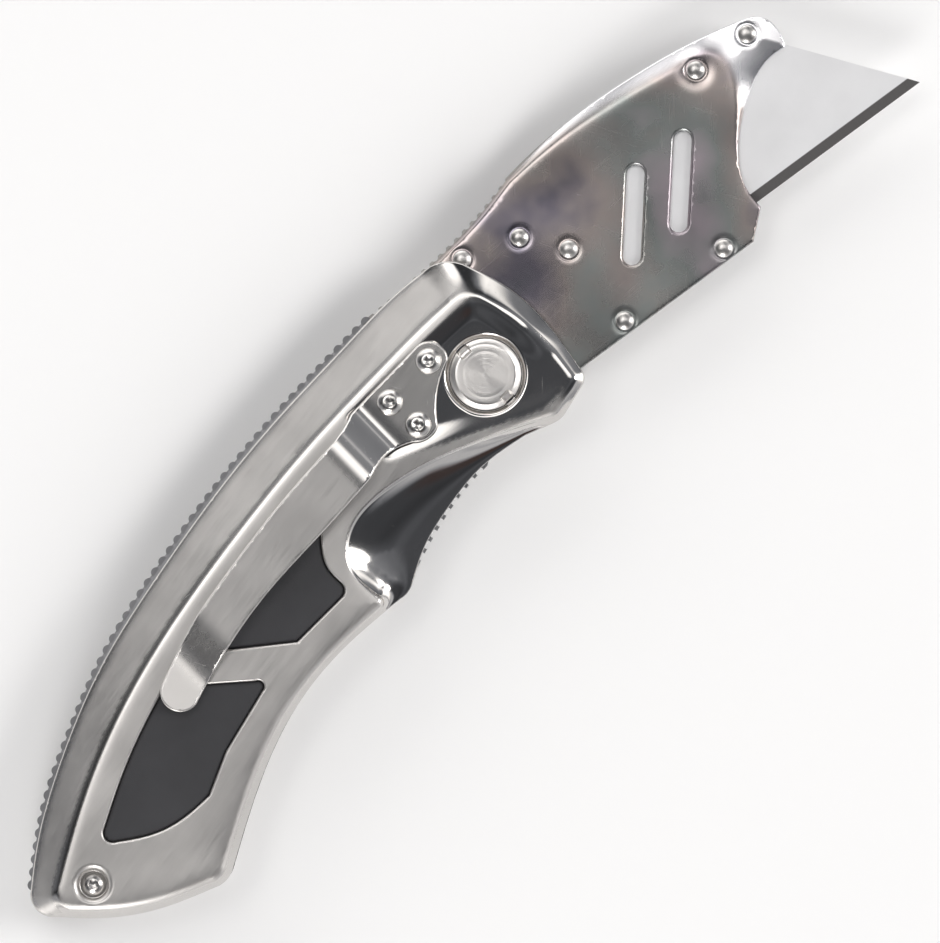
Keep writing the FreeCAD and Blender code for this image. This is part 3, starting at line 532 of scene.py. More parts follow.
# ---- Heights of the formed faces ---------------------------------------------------------------
FOOT, RIM = ring(SCALE_FOOT, 0.4), ring(SCALE_RIM, 0.25)
AFT, FORE = ring(AFT_WINDOW, 0.5), ring(FORE_WINDOW, 0.5)
PLATE_RING = ring(PLATE_OUTLINE, 0.5)
FLAT_RING = ring(CARRIER_FLAT)
SLOTS = [slot_ring(a, b, PLATE_SLOT_R) for a, b in PLATE_SLOTS]
CREASE_R = 0.62             # radius of the crease between land and facets
EDGE_R = 0.18               # rounding of a scale's outer edge
SLOT_LIP_R = 0.48           # rounding round the plates' slots
LIP_R = 0.32                # rounding round windows and seats
RIDGE_SINK = 0.62           # how far the ridge between dish and scoop lies below the land
LOCK_AREA = np.array([(-60.0, -19.0), (-60.0, -9.0), (-6.0, -1.0), (-3.0, -11.0), (-28.0, -15.5)])


def reach_from(at, p):
    return np.hypot(p[:, 0] - at[0], p[:, 1] - at[1])


def seat(z, p, at, radius, floor, lip):
    """Sinks a round seat with a rounded lip into a height."""
    r = reach_from(at, p)
    z = z - np.where(r > radius, round_over(r - radius, lip), 0)
    wall = floor + np.clip((r - radius + 0.1) / 0.1, 0, 1) * 9
    return np.minimum(z, wall)


def dish_share(p):
    """0 outside the dish, 1 on its floor; every side has its own wall and corners are soft."""
    total = np.zeros(len(p))
    for at, degrees, width in DISH_SIDES:
        way = math.radians(degrees)
        reach = ((p[:, 0] - at[0]) * math.cos(way) + (p[:, 1] - at[1]) * math.sin(way)) / width
        total += np.exp(-np.clip(reach, -8, 8) / DISH_BLEND)
    return smooth_step(-DISH_BLEND * np.log(total))


def scoop_share(p):
    """1 in the thumb scoop, 0 elsewhere."""
    below = np.clip(-depth(RIM, p) / 0.3, 0, 1)
    return below * smooth_step((p[:, 0] + 35.0) / 1.2) * smooth_step((3.0 - p[:, 0]) / 3.5) * (p[:, 1] < 2)


def ridge_sink(p):
    """How far the land sinks towards the ridge between the dish and the scoop."""
    return RIDGE_SINK * smooth_step((p[:, 0] + 30.0) / 14.0) * smooth_step((1.5 - p[:, 1]) / 6.5)


def scale_top(p, seats):
    """Height of a scale: facets down from the crease, a thumb scoop, a dish and round seats."""
    foot = np.clip(depth(FOOT, p), 0, None)
    past = -depth(RIM, p)
    run = 0.5 * (past + np.sqrt(past**2 + CREASE_R**2))
    share = run / (run + foot + 1e-6)
    hollow = scoop_share(p)
    fall = share + hollow * (1 - (1 - share) ** 2.1 - share)
    land = SCALE_OUT - ridge_sink(p)
    z = land - (land - SCALE_FOOT_Z - FRONT_FOOT_RISE * smooth_step((p[:, 0] - 3.0) / 5.0)) * fall
    z -= round_over(foot, EDGE_R)
    z -= (land - PAD_FLOOR) * dish_share(p)
    for window in (AFT, FORE):
        z -= round_over(distance(window, p), LIP_R)
    for at, radius, floor, lip in seats:
        z = seat(z, p, at, radius, floor, lip)
    return z


def scale_polish(p):
    """1 where a scale is mirror polished, 0 where it is brushed."""
    past = -depth(RIM, p)
    crease = smooth_step((past + 0.1) / 0.4) * smooth_step((1.3 - past) / 0.7)
    dish = smooth_step(dish_share(p) * 6)
    front = smooth_step((p[:, 0] - 4.0) / 4.0)
    flank = smooth_step(1 - depth(FOOT, p) / 1.2)
    return np.clip(np.maximum.reduce([0.7 * crease, dish, front, scoop_share(p), 0.6 * flank]), 0, 1)


def plate_top(p):
    """Height of a carrier plate: bevelled spine and beak, rounded slots, a moat round each rivet."""
    edge = np.clip(depth(PLATE_RING, p), 0, None)
    past = -depth(FLAT_RING, p)
    run = 0.5 * (past + np.sqrt(past**2 + 0.5**2))
    z = PLATE_OUT - (PLATE_OUT - PLATE_EDGE_Z) * run / (run + edge + 1e-6)
    z -= round_over(edge, 0.2)
    for hole in SLOTS:
        z -= round_over(distance(hole, p), SLOT_LIP_R)
    for at in CARRIER_RIVETS:
        r = reach_from(at, p)
        z -= RIVET_MOAT * np.exp(-((r - RIVET_MOAT_R) / 0.28) ** 2)
    z -= BEAK_DROP * np.exp(-(reach_from(CARRIER_RIVETS[5], p) / 2.4) ** 4)
    return z


def plate_bevel_highlight(p):
    """1 on a plate's bevelled spine and beak, where a highlight is painted in near white, 0 on its flat."""
    return smooth_step((-depth(FLAT_RING, p) - 0.1) / 1.3)


def disc_top(p, top):
    """Height of a pivot disc: a flat spun centre, a wide chamfer and two spanner notches."""
    r = reach_from((0, 0), p)
    z = top - 0.25 * (r - DISC_FLAT_R + np.sqrt((r - DISC_FLAT_R) ** 2 + 0.04))
    z = z - 0.015 * np.exp(-((r - DISC_GROOVE_R) / 0.12) ** 2)
    z -= round_over(DISC_R - r, 0.2)
    for side in (1, -1):
        inside = np.minimum(SPANNER_R - np.abs(p[:, 0]), side * p[:, 1] - (DISC_R - SPANNER_REACH))
        z -= SPANNER_DEPTH * np.clip(inside / 0.12, 0, 1)
    return z


def clip_line():
    """The clip's side line as even samples, with its bends rounded by averaging."""
    x = np.arange(-72.0, 6.0, 0.05)
    xs, zs = zip(*CLIP_SIDE[::-1])
    z = np.interp(x, xs, zs)
    width = 31
    for _ in range(3):
        z = np.convolve(np.pad(z, width // 2, mode="edge"), np.ones(width) / width, mode="valid")
    return x, z


CLIP_X, CLIP_Z = clip_line()
CLIP_RING = ring(CLIP_PLAN)


def clip_under(p):
    return np.interp(p[:, 0], CLIP_X, CLIP_Z) + 0.5 * round_over(np.clip(depth(CLIP_RING, p), 0, None), 0.25)


def clip_top(p):
    slope = np.gradient(CLIP_Z, CLIP_X)
    lift = CLIP_THICK * np.sqrt(1 + np.interp(p[:, 0], CLIP_X, slope) ** 2)
    edge = np.clip(depth(CLIP_RING, p), 0, None)
    return np.interp(p[:, 0], CLIP_X, CLIP_Z) + lift - round_over(edge, 0.3)


def clip_polish(p):
    """1 on the clip's pad and bends, 0 along its brushed arm."""
    front = smooth_step((p[:, 0] + 25.5) / 2.0) * (1 - 0.5 * smooth_step((p[:, 0] + 15.5) / 2.0))
    tail = smooth_step((p[:, 0] + 62.5) / 2.0) * smooth_step((-53.0 - p[:, 0]) / 3.0)
    return np.maximum(front * 0.9, tail * 0.4)


# ---- Nodes -------------------------------------------------------------------------------------
def feed(tree, made, inputs):
    """Links a node's inputs to sockets, or gives them values. A colour gets its alpha here."""
    for label, value in inputs.items():
        socket = made.inputs[label]
        if isinstance(value, bpy.types.NodeSocket):
            tree.links.new(value, socket)
        else:
            socket.default_value = (*value, 1.0) if socket.type == "RGBA" else value


def add_node(tree, kind, inputs, **settings):
    """A node with its settings made and its inputs fed."""
    made = tree.nodes.new(kind)
    for key, value in settings.items():
        setattr(made, key, value)
    feed(tree, made, inputs)
    return made


def math_node(tree, operation, *values, clamp=False):
    """The result of a Math node on sockets or numbers."""
    inputs = dict(enumerate(values))
    return add_node(tree, "ShaderNodeMath", inputs, operation=operation, use_clamp=clamp).outputs[0]


def plus(tree, a, b, clamp=False):
    return math_node(tree, "ADD", a, b, clamp=clamp)


def minus(tree, a, b, clamp=False):
    return math_node(tree, "SUBTRACT", a, b, clamp=clamp)


def times(tree, a, b, clamp=False):
    return math_node(tree, "MULTIPLY", a, b, clamp=clamp)


def remap(tree, value, low, high, new_low, new_high, shape="LINEAR"):
    """A value carried from one range to another."""
    inputs = {"Value": value, "From Min": low, "From Max": high, "To Min": new_low, "To Max": new_high}
    return add_node(tree, "ShaderNodeMapRange", inputs, interpolation_type=shape).outputs["Result"]


def noise(tree, vector, scale, detail=2.0):
    inputs = {"Vector": vector, "Scale": scale, "Detail": detail}
    return add_node(tree, "ShaderNodeTexNoise", inputs).outputs["Fac"]


def stretched(tree, vector, factors):
    """Coordinates multiplied by three factors. A small first factor runs a pattern out along X."""
    return add_node(tree, "ShaderNodeVectorMath", {0: vector, 1: factors}, operation="MULTIPLY").outputs[0]


def rotated(tree, vector, degrees):
    """Coordinates turned about Z."""
    inputs = {"Vector": vector, "Angle": math.radians(degrees)}
    return add_node(tree, "ShaderNodeVectorRotate", inputs, rotation_type="Z_AXIS").outputs[0]


def polish_and_highlight_mask(tree):
    """The mesh's own mask of its polished places; on the carrier plates it marks the bevel where a highlight
    is painted.
    """
    return add_node(tree, "ShaderNodeAttribute", {}, attribute_name="polish").outputs["Fac"]


# ---- Shader groups: each makes one value from coordinates and one setting ----------------------
def brushed_lines(tree, vector, contrast):
    """Fine parallel brushing lines along X."""
    fine = noise(tree, stretched(tree, vector, (0.04, 1.0, 1.0)), 7000.0)
    broad = noise(tree, stretched(tree, vector, (0.05, 1.0, 1.0)), 1600.0, 3.0)
    both = plus(tree, times(tree, fine, 0.6), times(tree, broad, 0.4))
    return plus(tree, times(tree, minus(tree, both, 0.5), contrast), 0.5, True)


def hairline_scratches(tree, vector, density):
    """Sparse hairline scratches in three directions."""
    level = minus(tree, 0.80, times(tree, density, 0.12))
    total = None
    for number, degrees in enumerate((12.0, 71.0, -38.0)):
        lines = noise(tree, stretched(tree, rotated(tree, vector, degrees), (0.02, 1.0, 1.0)),
                      5200.0 + 900.0 * number, 1.0)
        mark = times(tree, minus(tree, lines, level), 14.0, True)
        total = mark if total is None else math_node(tree, "MAXIMUM", total, mark)
    return total


def handling_marks(tree, vector, size):
    """Soft uneven patches, as from handling and polishing."""
    return remap(tree, noise(tree, vector, size, 4.0), 0.3, 0.7, 0.0, 1.0)


def moulded_pebble(tree, vector, scale):
    """The fine matte pebble of a moulded grip."""
    return add_node(tree, "ShaderNodeTexVoronoi", {"Vector": vector, "Scale": scale}).outputs["Distance"]


def turned_rings(tree, vector, pitch):
    """Rings left by turning, round the Z axis."""
    flat = stretched(tree, vector, (1.0, 1.0, 0.0))
    reach = add_node(tree, "ShaderNodeVectorMath", {0: flat}, operation="LENGTH").outputs["Value"]
    phase = times(tree, reach, pitch)
    return plus(tree, math_node(tree, "SINE", phase), math_node(tree, "SINE", times(tree, phase, 0.37)))


# Each group's name, its setting with a usual value, its result and the function that makes it.
GROUPS = {
    "brushed": ("Brushed Lines", "Contrast", 1.0, "Lines", brushed_lines),
    "scratches": ("Hairline Scratches", "Density", 0.5, "Scratches", hairline_scratches),
    "marks": ("Handling Marks", "Size", 90.0, "Marks", handling_marks),
    "pebble": ("Moulded Pebble", "Scale", 5200.0, "Height", moulded_pebble),
    "turned": ("Turned Rings", "Pitch", 16000.0, "Rings", turned_rings),
}


def shader_group(name, setting, usual, result, rule):
    """A shader group with named sockets."""
    tree = bpy.data.node_groups.new(name, "ShaderNodeTree")
    tree.interface.new_socket(name="Vector", in_out="INPUT", socket_type="NodeSocketVector")
    made = tree.interface.new_socket(name=setting, in_out="INPUT", socket_type="NodeSocketFloat")
    made.default_value = usual
    tree.interface.new_socket(name=result, in_out="OUTPUT", socket_type="NodeSocketFloat")
    source, target = tree.nodes.new("NodeGroupInput"), tree.nodes.new("NodeGroupOutput")
    feed(tree, target, {result: rule(tree, source.outputs["Vector"], source.outputs[setting])})
    return tree


def surface(tree, key, vector, value):
    """Places a shared shader group in a material with its own value, and gives its result."""
    name, setting, *rest = GROUPS[key]
    group = bpy.data.node_groups.get(name) or shader_group(name, setting, *rest)
    return add_node(tree, "ShaderNodeGroup", {"Vector": vector, setting: value}, node_tree=group).outputs[0]


# ---- User settings -----------------------------------------------------------------------------
def colour_setting(label, words, value):
    return bpy.props.FloatVectorProperty(name=label, description=words, default=value, subtype="COLOR",
                                         size=3, min=0.0, max=1.0)


def share_setting(label, words, value, top=1.0):
    return bpy.props.FloatProperty(name=label, description=words, default=value, min=0.0, max=top)


def length_setting(label, words, value):
    return bpy.props.FloatProperty(name=label, description=words, default=value, min=0.0001,
                                   subtype="DISTANCE", unit="LENGTH")


class KnifeFinishes(bpy.types.PropertyGroup):
    """Colours and roughness of the knife's surfaces."""
    steel: colour_setting("Handle steel", "Colour of the scales, clip and screws", (0.66, 0.64, 0.62))
    liner: colour_setting("Liner steel", "Colour of the liners and the lock bar", (0.56, 0.56, 0.57))
    spacer: colour_setting("Backspacer steel", "Colour of the toothed backspacer", (0.26, 0.26, 0.27))
    blade: colour_setting("Blade steel", "Colour of the blade's faces", (0.86, 0.86, 0.87))
    bevel: colour_setting("Ground edge", "Colour of the blade's ground edge", (0.135, 0.13, 0.13))
    grip: colour_setting("Grip", "Colour of the grip inlays", (0.030, 0.030, 0.033))
    bronze: colour_setting("Bronze", "Colour of the pivot washer", (0.66, 0.49, 0.30))
    satin: share_setting("Satin roughness", "Roughness of the brushed faces", 0.34)
    mirror: share_setting("Polished roughness", "Roughness of the dish, scoop and edges", 0.09)
    plate: share_setting("Carrier roughness", "Roughness of the carrier's plates", 0.19)
    matte: share_setting("Grip roughness", "Roughness of the grip inlays", 0.62)


class KnifeDetails(bpy.types.PropertyGroup):
    """Sizes of the fine detail."""
    spacing: length_setting("Mesh spacing", "Distance between points on the formed faces", 0.55 * MM)
    tooth_pitch: length_setting("Tooth pitch", "Distance between the backspacer's teeth", 1.87 * MM)
    tooth_height: length_setting("Tooth height", "How far the backspacer's teeth stand up", 0.42 * MM)
    head_radius: length_setting("Screw head", "Radius of a clip screw's head", 1.9 * MM)
    socket: length_setting("Hex socket", "Half the width of a screw's hex socket", 0.65 * MM)
    rivet_radius: length_setting("Rivet head", "Radius of a carrier rivet's head", 1.3 * MM)


class KnifeStage(bpy.types.PropertyGroup):
    """Camera, floor and light."""
    lens: bpy.props.FloatProperty(name="Lens", description="Focal length", default=400.0, min=20.0,
                                  unit="CAMERA")
    view_height: length_setting("View height", "Height of the picture at the knife", 136.67 * MM)
    roll: bpy.props.FloatProperty(name="Roll", description="How far the knife is turned in the picture",
                                  default=math.radians(44.0), subtype="ANGLE", unit="ROTATION")
    floor: colour_setting("Floor", "Colour of the floor", (0.93, 0.93, 0.93))
    light: share_setting("Light", "Strength of the studio light", 1.0, 20.0)


# ---- Materials ---------------------------------------------------------------------------------
PLATE_TINTS = [(0.37, 0.37, 0.41), (0.30, 0.275, 0.325), (0.45, 0.395, 0.375), (0.32, 0.34, 0.33),
               (0.41, 0.36, 0.39)]
# Painted highlight: the near-white colour of the plates' bevelled spine and beak, where they catch the light.
BEVEL_HIGHLIGHT_TINT = (0.90, 0.89, 0.91)
GROUND_EDGE = (1.42 * MM, 1.56 * MM)    # where the blade's ground edge ends


def start_material(name, degrees=0.0, centre=(0.0, 0.0), metallic=1.0):
    """A material with object coordinates that are centred in millimetres and turned about Z."""
    material = bpy.data.materials.new(name)
    material.use_nodes = True
    tree = material.node_tree
    shader = tree.nodes["Principled BSDF"]
    shader.inputs["Metallic"].default_value = metallic
    source = tree.nodes.new("ShaderNodeTexCoord")
    inputs = {"Vector": source.outputs["Object"], "Location": tuple(np.array([*centre, 0.0]) * MM + PIVOT),
              "Rotation": (0.0, 0.0, math.radians(degrees))}
    place = add_node(tree, "ShaderNodeMapping", inputs, vector_type="TEXTURE")
    return material, tree, shader, place.outputs["Vector"]


def blend_colours(tree, share, first, second):
    made = add_node(tree, "ShaderNodeMix", {}, data_type="RGBA")
    slots = [number for number, socket in enumerate(made.inputs) if socket.type == "RGBA"]
    feed(tree, made, {"Factor": share, slots[0]: first, slots[1]: second})
    return next(socket for socket in made.outputs if socket.type == "RGBA")


def bump(tree, height, strength, depth_mm):
    inputs = {"Height": height, "Strength": strength, "Distance": depth_mm * MM}
    return add_node(tree, "ShaderNodeBump", inputs).outputs["Normal"]


def steel(name, dark, light, rough, mirror=None, degrees=0.0, lines=0.6, line_depth=0.004, scratches=0.4,
          centre=(0.0, 0.0)):
    """Brushed or polished steel. mirror is the roughness where the polish attribute is 1."""
    material, tree, shader, vector = start_material(name, degrees, centre)
    grain = surface(tree, "brushed", vector, 1.2)
    worn = surface(tree, "scratches", vector, scratches)
    patches = surface(tree, "marks", vector, 90.0)
    shade = plus(tree, times(tree, patches, 0.6), times(tree, grain, 0.4))
    base = plus(tree, times(tree, grain, 0.16), rough - 0.08)
    base = plus(tree, base, times(tree, patches, 0.05))
    height = grain
    if mirror is not None:
        unpolished = minus(tree, 1.0, polish_and_highlight_mask(tree), True)
        base = plus(tree, times(tree, minus(tree, base, mirror), unpolished), mirror)
        height = times(tree, grain, plus(tree, unpolished, 0.06))
    relief = minus(tree, times(tree, height, lines), times(tree, worn, 0.35))
    feed(tree, shader, {"Base Color": blend_colours(tree, shade, dark, light),
                        "Roughness": plus(tree, base, times(tree, worn, 0.18), True),
                        "Normal": bump(tree, relief, 0.6, line_depth)})
    return material


def carrier_steel(name, tints, rough):
    """The carrier's plates: polished steel with faint heat tints, hairlines and soft patches, with a
    highlight painted in near white on the bevelled spine and beak.
    """
    material, tree, shader, vector = start_material(name, 8.0)
    patches = surface(tree, "marks", vector, 38.0)
    worn = surface(tree, "scratches", vector, 0.9)
    clouds = surface(tree, "marks", vector, 150.0)
    ramp = add_node(tree, "ShaderNodeValToRGB", {"Fac": patches})
    stops = ramp.color_ramp.elements
    for number in range(1, len(tints) - 1):
        stops.new(number / (len(tints) - 1))
    for stop, tint in zip(stops, tints):
        stop.color = (*tint, 1.0)
    base = plus(tree, times(tree, patches, 0.08), rough)
    base = plus(tree, base, times(tree, clouds, 0.05))
    # The bevelled spine and beak get a painted highlight in near white.
    colour = blend_colours(tree, polish_and_highlight_mask(tree), ramp.outputs["Color"], BEVEL_HIGHLIGHT_TINT)
    feed(tree, shader, {"Base Color": colour,
                        "Roughness": plus(tree, base, times(tree, worn, 0.03), True),
                        "Normal": bump(tree, noise(tree, vector, 70.0, 0.0), 0.5, 1.0)})
    return material


def turned_steel(name, colour):
    """Steel with fine rings from turning."""
    material, tree, shader, vector = start_material(name)
    patches = surface(tree, "marks", vector, 400.0)
    tangent = add_node(tree, "ShaderNodeTangent", {}, direction_type="RADIAL", axis="Z")
    feed(tree, shader, {"Base Color": colour, "Roughness": plus(tree, times(tree, patches, 0.06), 0.3),
                        "Normal": bump(tree, surface(tree, "turned", vector, 26000.0), 0.3, 0.004),
                        "Anisotropic": 0.75, "Tangent": tangent.outputs["Tangent"]})
    return material


def blade_steel(name, colour, dark):
    """Satin blade steel, ground across its width, with a darker ground edge."""
    material, tree, shader, vector = start_material(name, -BLADE_TILT, BLADE_TIP)
    grain = surface(tree, "brushed", rotated(tree, vector, 90), 1.0)
    patches = surface(tree, "marks", vector, 120.0)
    across = add_node(tree, "ShaderNodeSeparateXYZ", {0: vector}).outputs["Y"]
    ground = math_node(tree, "MINIMUM", remap(tree, across, *GROUND_EDGE, 1.0, 0.0), 1.0, clamp=True)
    light = blend_colours(tree, patches, scaled(colour, 0.93), colour)
    base = plus(tree, times(tree, grain, 0.16), 0.45)
    feed(tree, shader, {"Base Color": blend_colours(tree, ground, light, dark),
                        "Roughness": plus(tree, base, times(tree, ground, 0.1)),
                        "Normal": bump(tree, grain, 0.5, 0.005)})
    return material


def grip_rubber(name, colour, rough):
    """Matte moulded grip with a fine pebble and faint rubbed patches."""
    material, tree, shader, vector = start_material(name, metallic=0.0)
    patches = surface(tree, "marks", vector, 110.0)
    feed(tree, shader, {"Base Color": blend_colours(tree, patches, colour, scaled(colour, 1.35)),
                        "Roughness": plus(tree, times(tree, patches, 0.10), rough - 0.05),
                        "Specular IOR Level": 0.4,
                        "Normal": bump(tree, surface(tree, "pebble", vector, 5200.0), 0.35, 0.02)})
    return material


# Each steel: its colour setting, how dark and how light its patches are, its roughness (None for the satin
# setting), what it adds to the polished roughness (None for no polish), the direction of its lines in
# degrees, their strength and depth, how scratched it is and where its pattern is centred.
STEELS = {
    "scale": ("steel", 0.84, 1.06, None, 0.0, 9.0, 0.7, 0.004, 0.3, (-40.0, 0.0)),
    "clip": ("steel", 0.95, 1.05, 0.31, 0.05, 9.0, 0.6, 0.003, 0.3),
    "screw": ("steel", 0.85, 1.0, 0.2, None, 30.0, 0.3, 0.003, 0.2),
    "rivet": ("steel", 0.8, 0.95, 0.28, None, 50.0, 0.3, 0.003, 0.2),
    "pin": ("liner", 0.95, 1.1, 0.22, None, 0.0, 0.3, 0.003, 0.2),
    "core": ("steel", 0.55, 0.8, 0.34, None, 85.0),
    "liner": ("liner", 0.9, 1.0, 0.32, None, 5.0),
    "spring": ("liner", 0.7, 0.85, 0.3, None, 0.0),
    "backspacer": ("spacer", 0.8, 1.3, 0.42, None, 85.0),
    "bronze": ("bronze", 0.9, 1.0, 0.35, None, 0.0),
}


def scaled(colour, factor):
    return [min(1.0, c * factor) for c in colour]


def finish_for(key):
    """The material for a finish, made when it is first asked for."""
    label = "Knife " + key
    if label in bpy.data.materials:
        return bpy.data.materials[label]
    look = bpy.context.scene.knife_finishes
    if key in STEELS:
        setting, dark, light, rough, extra, *rest = STEELS[key]
        colour = list(getattr(look, setting))
        rough = look.satin if rough is None else rough
        mirror = None if extra is None else look.mirror + extra
        return steel(label, scaled(colour, dark), scaled(colour, light), rough, mirror, *rest)
    if key == "plate":
        return carrier_steel(label, PLATE_TINTS, look.plate)
    if key == "turned":
        return turned_steel(label, scaled(look.steel, 1.25))
    if key == "blade":
        return blade_steel(label, list(look.blade), list(look.bevel))
    return grip_rubber(label, list(look.grip), look.matte)


def fit(piece, body, slot, look, *nodes):
    """Gives a finished piece its material and body, and hides the CAD nodes that it stands for. slot is not
    used.
    """
    piece.data.materials.clear()
    piece.data.materials.append(finish_for(look))
    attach(piece, body)
    if nodes:
        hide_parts(*nodes)
    return piece


# ---- Repeated pieces by Geometry Nodes ---------------------------------------------------------
def nodes_tree(name, inputs):
    """A Geometry Nodes tree with named inputs, and its input and output nodes."""
    tree = bpy.data.node_groups.new(name, "GeometryNodeTree")
    for label, kind in (("Geometry", "Geometry"), *inputs):
        tree.interface.new_socket(name=label, in_out="INPUT", socket_type="NodeSocket" + kind)
    tree.interface.new_socket(name="Geometry", in_out="OUTPUT", socket_type="NodeSocketGeometry")
    return tree, tree.nodes.new("NodeGroupInput"), tree.nodes.new("NodeGroupOutput")


def end_tree(tree, source, target, copies):
    """Puts copies on points, realizes them and sets their material."""
    made = add_node(tree, "GeometryNodeInstanceOnPoints", copies)
    real = add_node(tree, "GeometryNodeRealizeInstances", {0: made.outputs["Instances"]})
    inputs = {"Geometry": real.outputs[0], "Material": source.outputs["Material"]}
    paint = add_node(tree, "GeometryNodeSetMaterial", inputs)
    feed(tree, target, {"Geometry": paint.outputs["Geometry"]})


def fastener_tree():
    """Puts a copy of one fastener on every point, each turned a little further and as tall as its point."""
    inputs = [("Fastener", "Object"), ("Turn", "Float"), ("Material", "Material")]
    tree, source, target = nodes_tree("Fasteners", inputs)
    master = add_node(tree, "GeometryNodeObjectInfo", {"Object": source.outputs["Fastener"]})
    number = tree.nodes.new("GeometryNodeInputIndex")
    angle = times(tree, number.outputs[0], source.outputs["Turn"])
    turn = add_node(tree, "ShaderNodeCombineXYZ", {"Z": angle})
    tall = add_node(tree, "GeometryNodeInputNamedAttribute", {"Name": "tall"}, data_type="FLOAT")
    size = add_node(tree, "ShaderNodeCombineXYZ", {"X": 1.0, "Y": 1.0, "Z": tall.outputs[0]})
    copies = {"Points": source.outputs["Geometry"], "Instance": master.outputs["Geometry"],
              "Rotation": turn.outputs[0], "Scale": size.outputs[0]}
    end_tree(tree, source, target, copies)
    return tree


def teeth_tree():
    """Sets teeth along a line, square to it, one every pitch."""
    inputs = [("Tooth", "Object"), ("Pitch", "Float"), ("Material", "Material")]
    tree, source, target = nodes_tree("Thumb Teeth", inputs)
    master = add_node(tree, "GeometryNodeObjectInfo", {"Object": source.outputs["Tooth"]})
    path = add_node(tree, "GeometryNodeMeshToCurve", {0: source.outputs["Geometry"]})
    inputs = {"Curve": path.outputs[0], "Length": source.outputs["Pitch"]}
    points = add_node(tree, "GeometryNodeCurveToPoints", inputs, mode="LENGTH")
    aim = add_node(tree, "FunctionNodeAlignRotationToVector", {"Vector": points.outputs["Tangent"]}, axis="X",
                   pivot_axis="Z")
    copies = {"Points": points.outputs["Points"], "Instance": master.outputs["Geometry"],
              "Rotation": aim.outputs[0]}
    end_tree(tree, source, target, copies)
    return tree


def grow(name, carrier, tree, values):
    """Runs a Geometry Nodes tree on an object and returns its result as a plain mesh object."""
    modifier = carrier.modifiers.new("build", "NODES")
    modifier.node_group = tree
    sockets = {item.name: item.identifier for item in tree.interface.items_tree if item.in_out == "INPUT"}
    for label, value in values.items():
        modifier[sockets[label]] = value
    graph = bpy.context.evaluated_depsgraph_get()
    mesh = bpy.data.meshes.new_from_object(carrier.evaluated_get(graph), depsgraph=graph)
    carrier.modifiers.remove(modifier)
    bpy.data.objects.remove(carrier)
    return add_object(name, mesh)


def fastened(name, master, places, heights, turn, finish):
    """Copies of a master on places in millimetres about the pivot, each with a height factor."""
    mesh = bpy.data.meshes.new(name)
    mesh.from_pydata((np.array(places, float) * MM + PIVOT).tolist(), [], [])
    mesh.attributes.new("tall", "FLOAT", "POINT").data.foreach_set("value", heights)
    master.data.transform(Matrix.Translation(-Vector(PIVOT)))
    tree = bpy.data.node_groups.get("Fasteners") or fastener_tree()
    piece = grow(name, add_object(name + " points", mesh), tree,
                 {"Fastener": master, "Turn": turn, "Material": finish_for(finish)})
    bpy.data.objects.remove(master)
    sharpen(piece)
    return piece


def screw_profile(radius, rise, socket, steps):
    """A button head from its rim at height 0 over its dome and down its hex socket."""
    angle = np.arange(steps) * 2 * math.pi / steps
    hexagon = socket / np.cos((angle + math.pi / 6) % (math.pi / 3) - math.pi / 6)
    dome = [(r, z) for r, z in arc_profile(radius, rise - 0.3, 0.3, 12) if r > socket * 1.32]
    rim_z = dome[-1][1]
    foot = [(0.0, -0.4), (radius - 0.1, -0.4), (radius, -0.3), (radius, 0.22), (radius - 0.04, 0.3)]
    hole = [(socket * 1.28, rim_z + 0.02), (hexagon, rim_z - 0.08), (hexagon, rim_z - 0.62),
            (socket * 0.5, rim_z - 0.75), (0.0, rim_z - 0.8)]
    return foot + dome[1:] + hole


def screws(name, places, seat_z, radius, rise, socket, turned_over=False):
    """A row of button-head screws with their heads on one height."""
    master = lathe("master " + name, screw_profile(radius, rise, socket, 48), 48, turned_over)
    z = -seat_z if turned_over else seat_z
    return fastened(name, master, [(x, y, z) for x, y in places], [1.0] * len(places), 0.7, "screw")


# ---- Operators, one for each piece or group of like pieces -------------------------------------
class KNIFE_OT_scales(bpy.types.Operator):
    """Build the two handle scales"""
    bl_idname = "knife.scales"
    bl_label = "Scales"
    bl_options = {"REGISTER", "UNDO"}

    def execute(self, context):
        spacing = context.scene.knife_details.spacing / MM
        shared = [((0.0, 0.0), PIVOT_SEAT_R, PIVOT_SEAT, 0.7), (TAIL_SCREW, TAIL_SEAT_R, TAIL_SEAT, 0.95)]
        sunk = [(at, REAR_SEAT_R, REAR_SEAT, LIP_R) for at in CLIP_SCREWS]
        masks = {"polish": scale_polish}
        rows = [row(FOOT, -o) for o in (0.06, 0.16, 0.3, 0.46, 0.75)]
        rows += [row(RIM, o) for o in (-0.9, -0.5, -0.25, 0.0, 0.25, 0.5, 0.85)]
        rows += [row(window, o) for window in (AFT, FORE) for o in (0.05, 0.12, 0.2, 0.34)]
        for name, seats, over in (("front_scale", shared, False), ("rear_scale", shared + sunk, True)):
            lips = [row(circle(at, radius, 0.3), o * lip / LIP_R) for at, radius, _, lip in seats
                    for o in (-0.08, 0.01, 0.06, 0.14, 0.24, 0.36)]
            relief = LINER_OUT
            if over:
                relief = lambda p: LINER_OUT + 0.55 * within(LOCK_AREA, p)
            top = lambda p, s=seats: scale_top(p, s)
            piece = plate(name + "_shell", FOOT, [AFT, FORE], top, relief, spacing, rows + lips, masks, over)
            fit(piece, "handle", "scale", "scale", name)
        return {"FINISHED"}


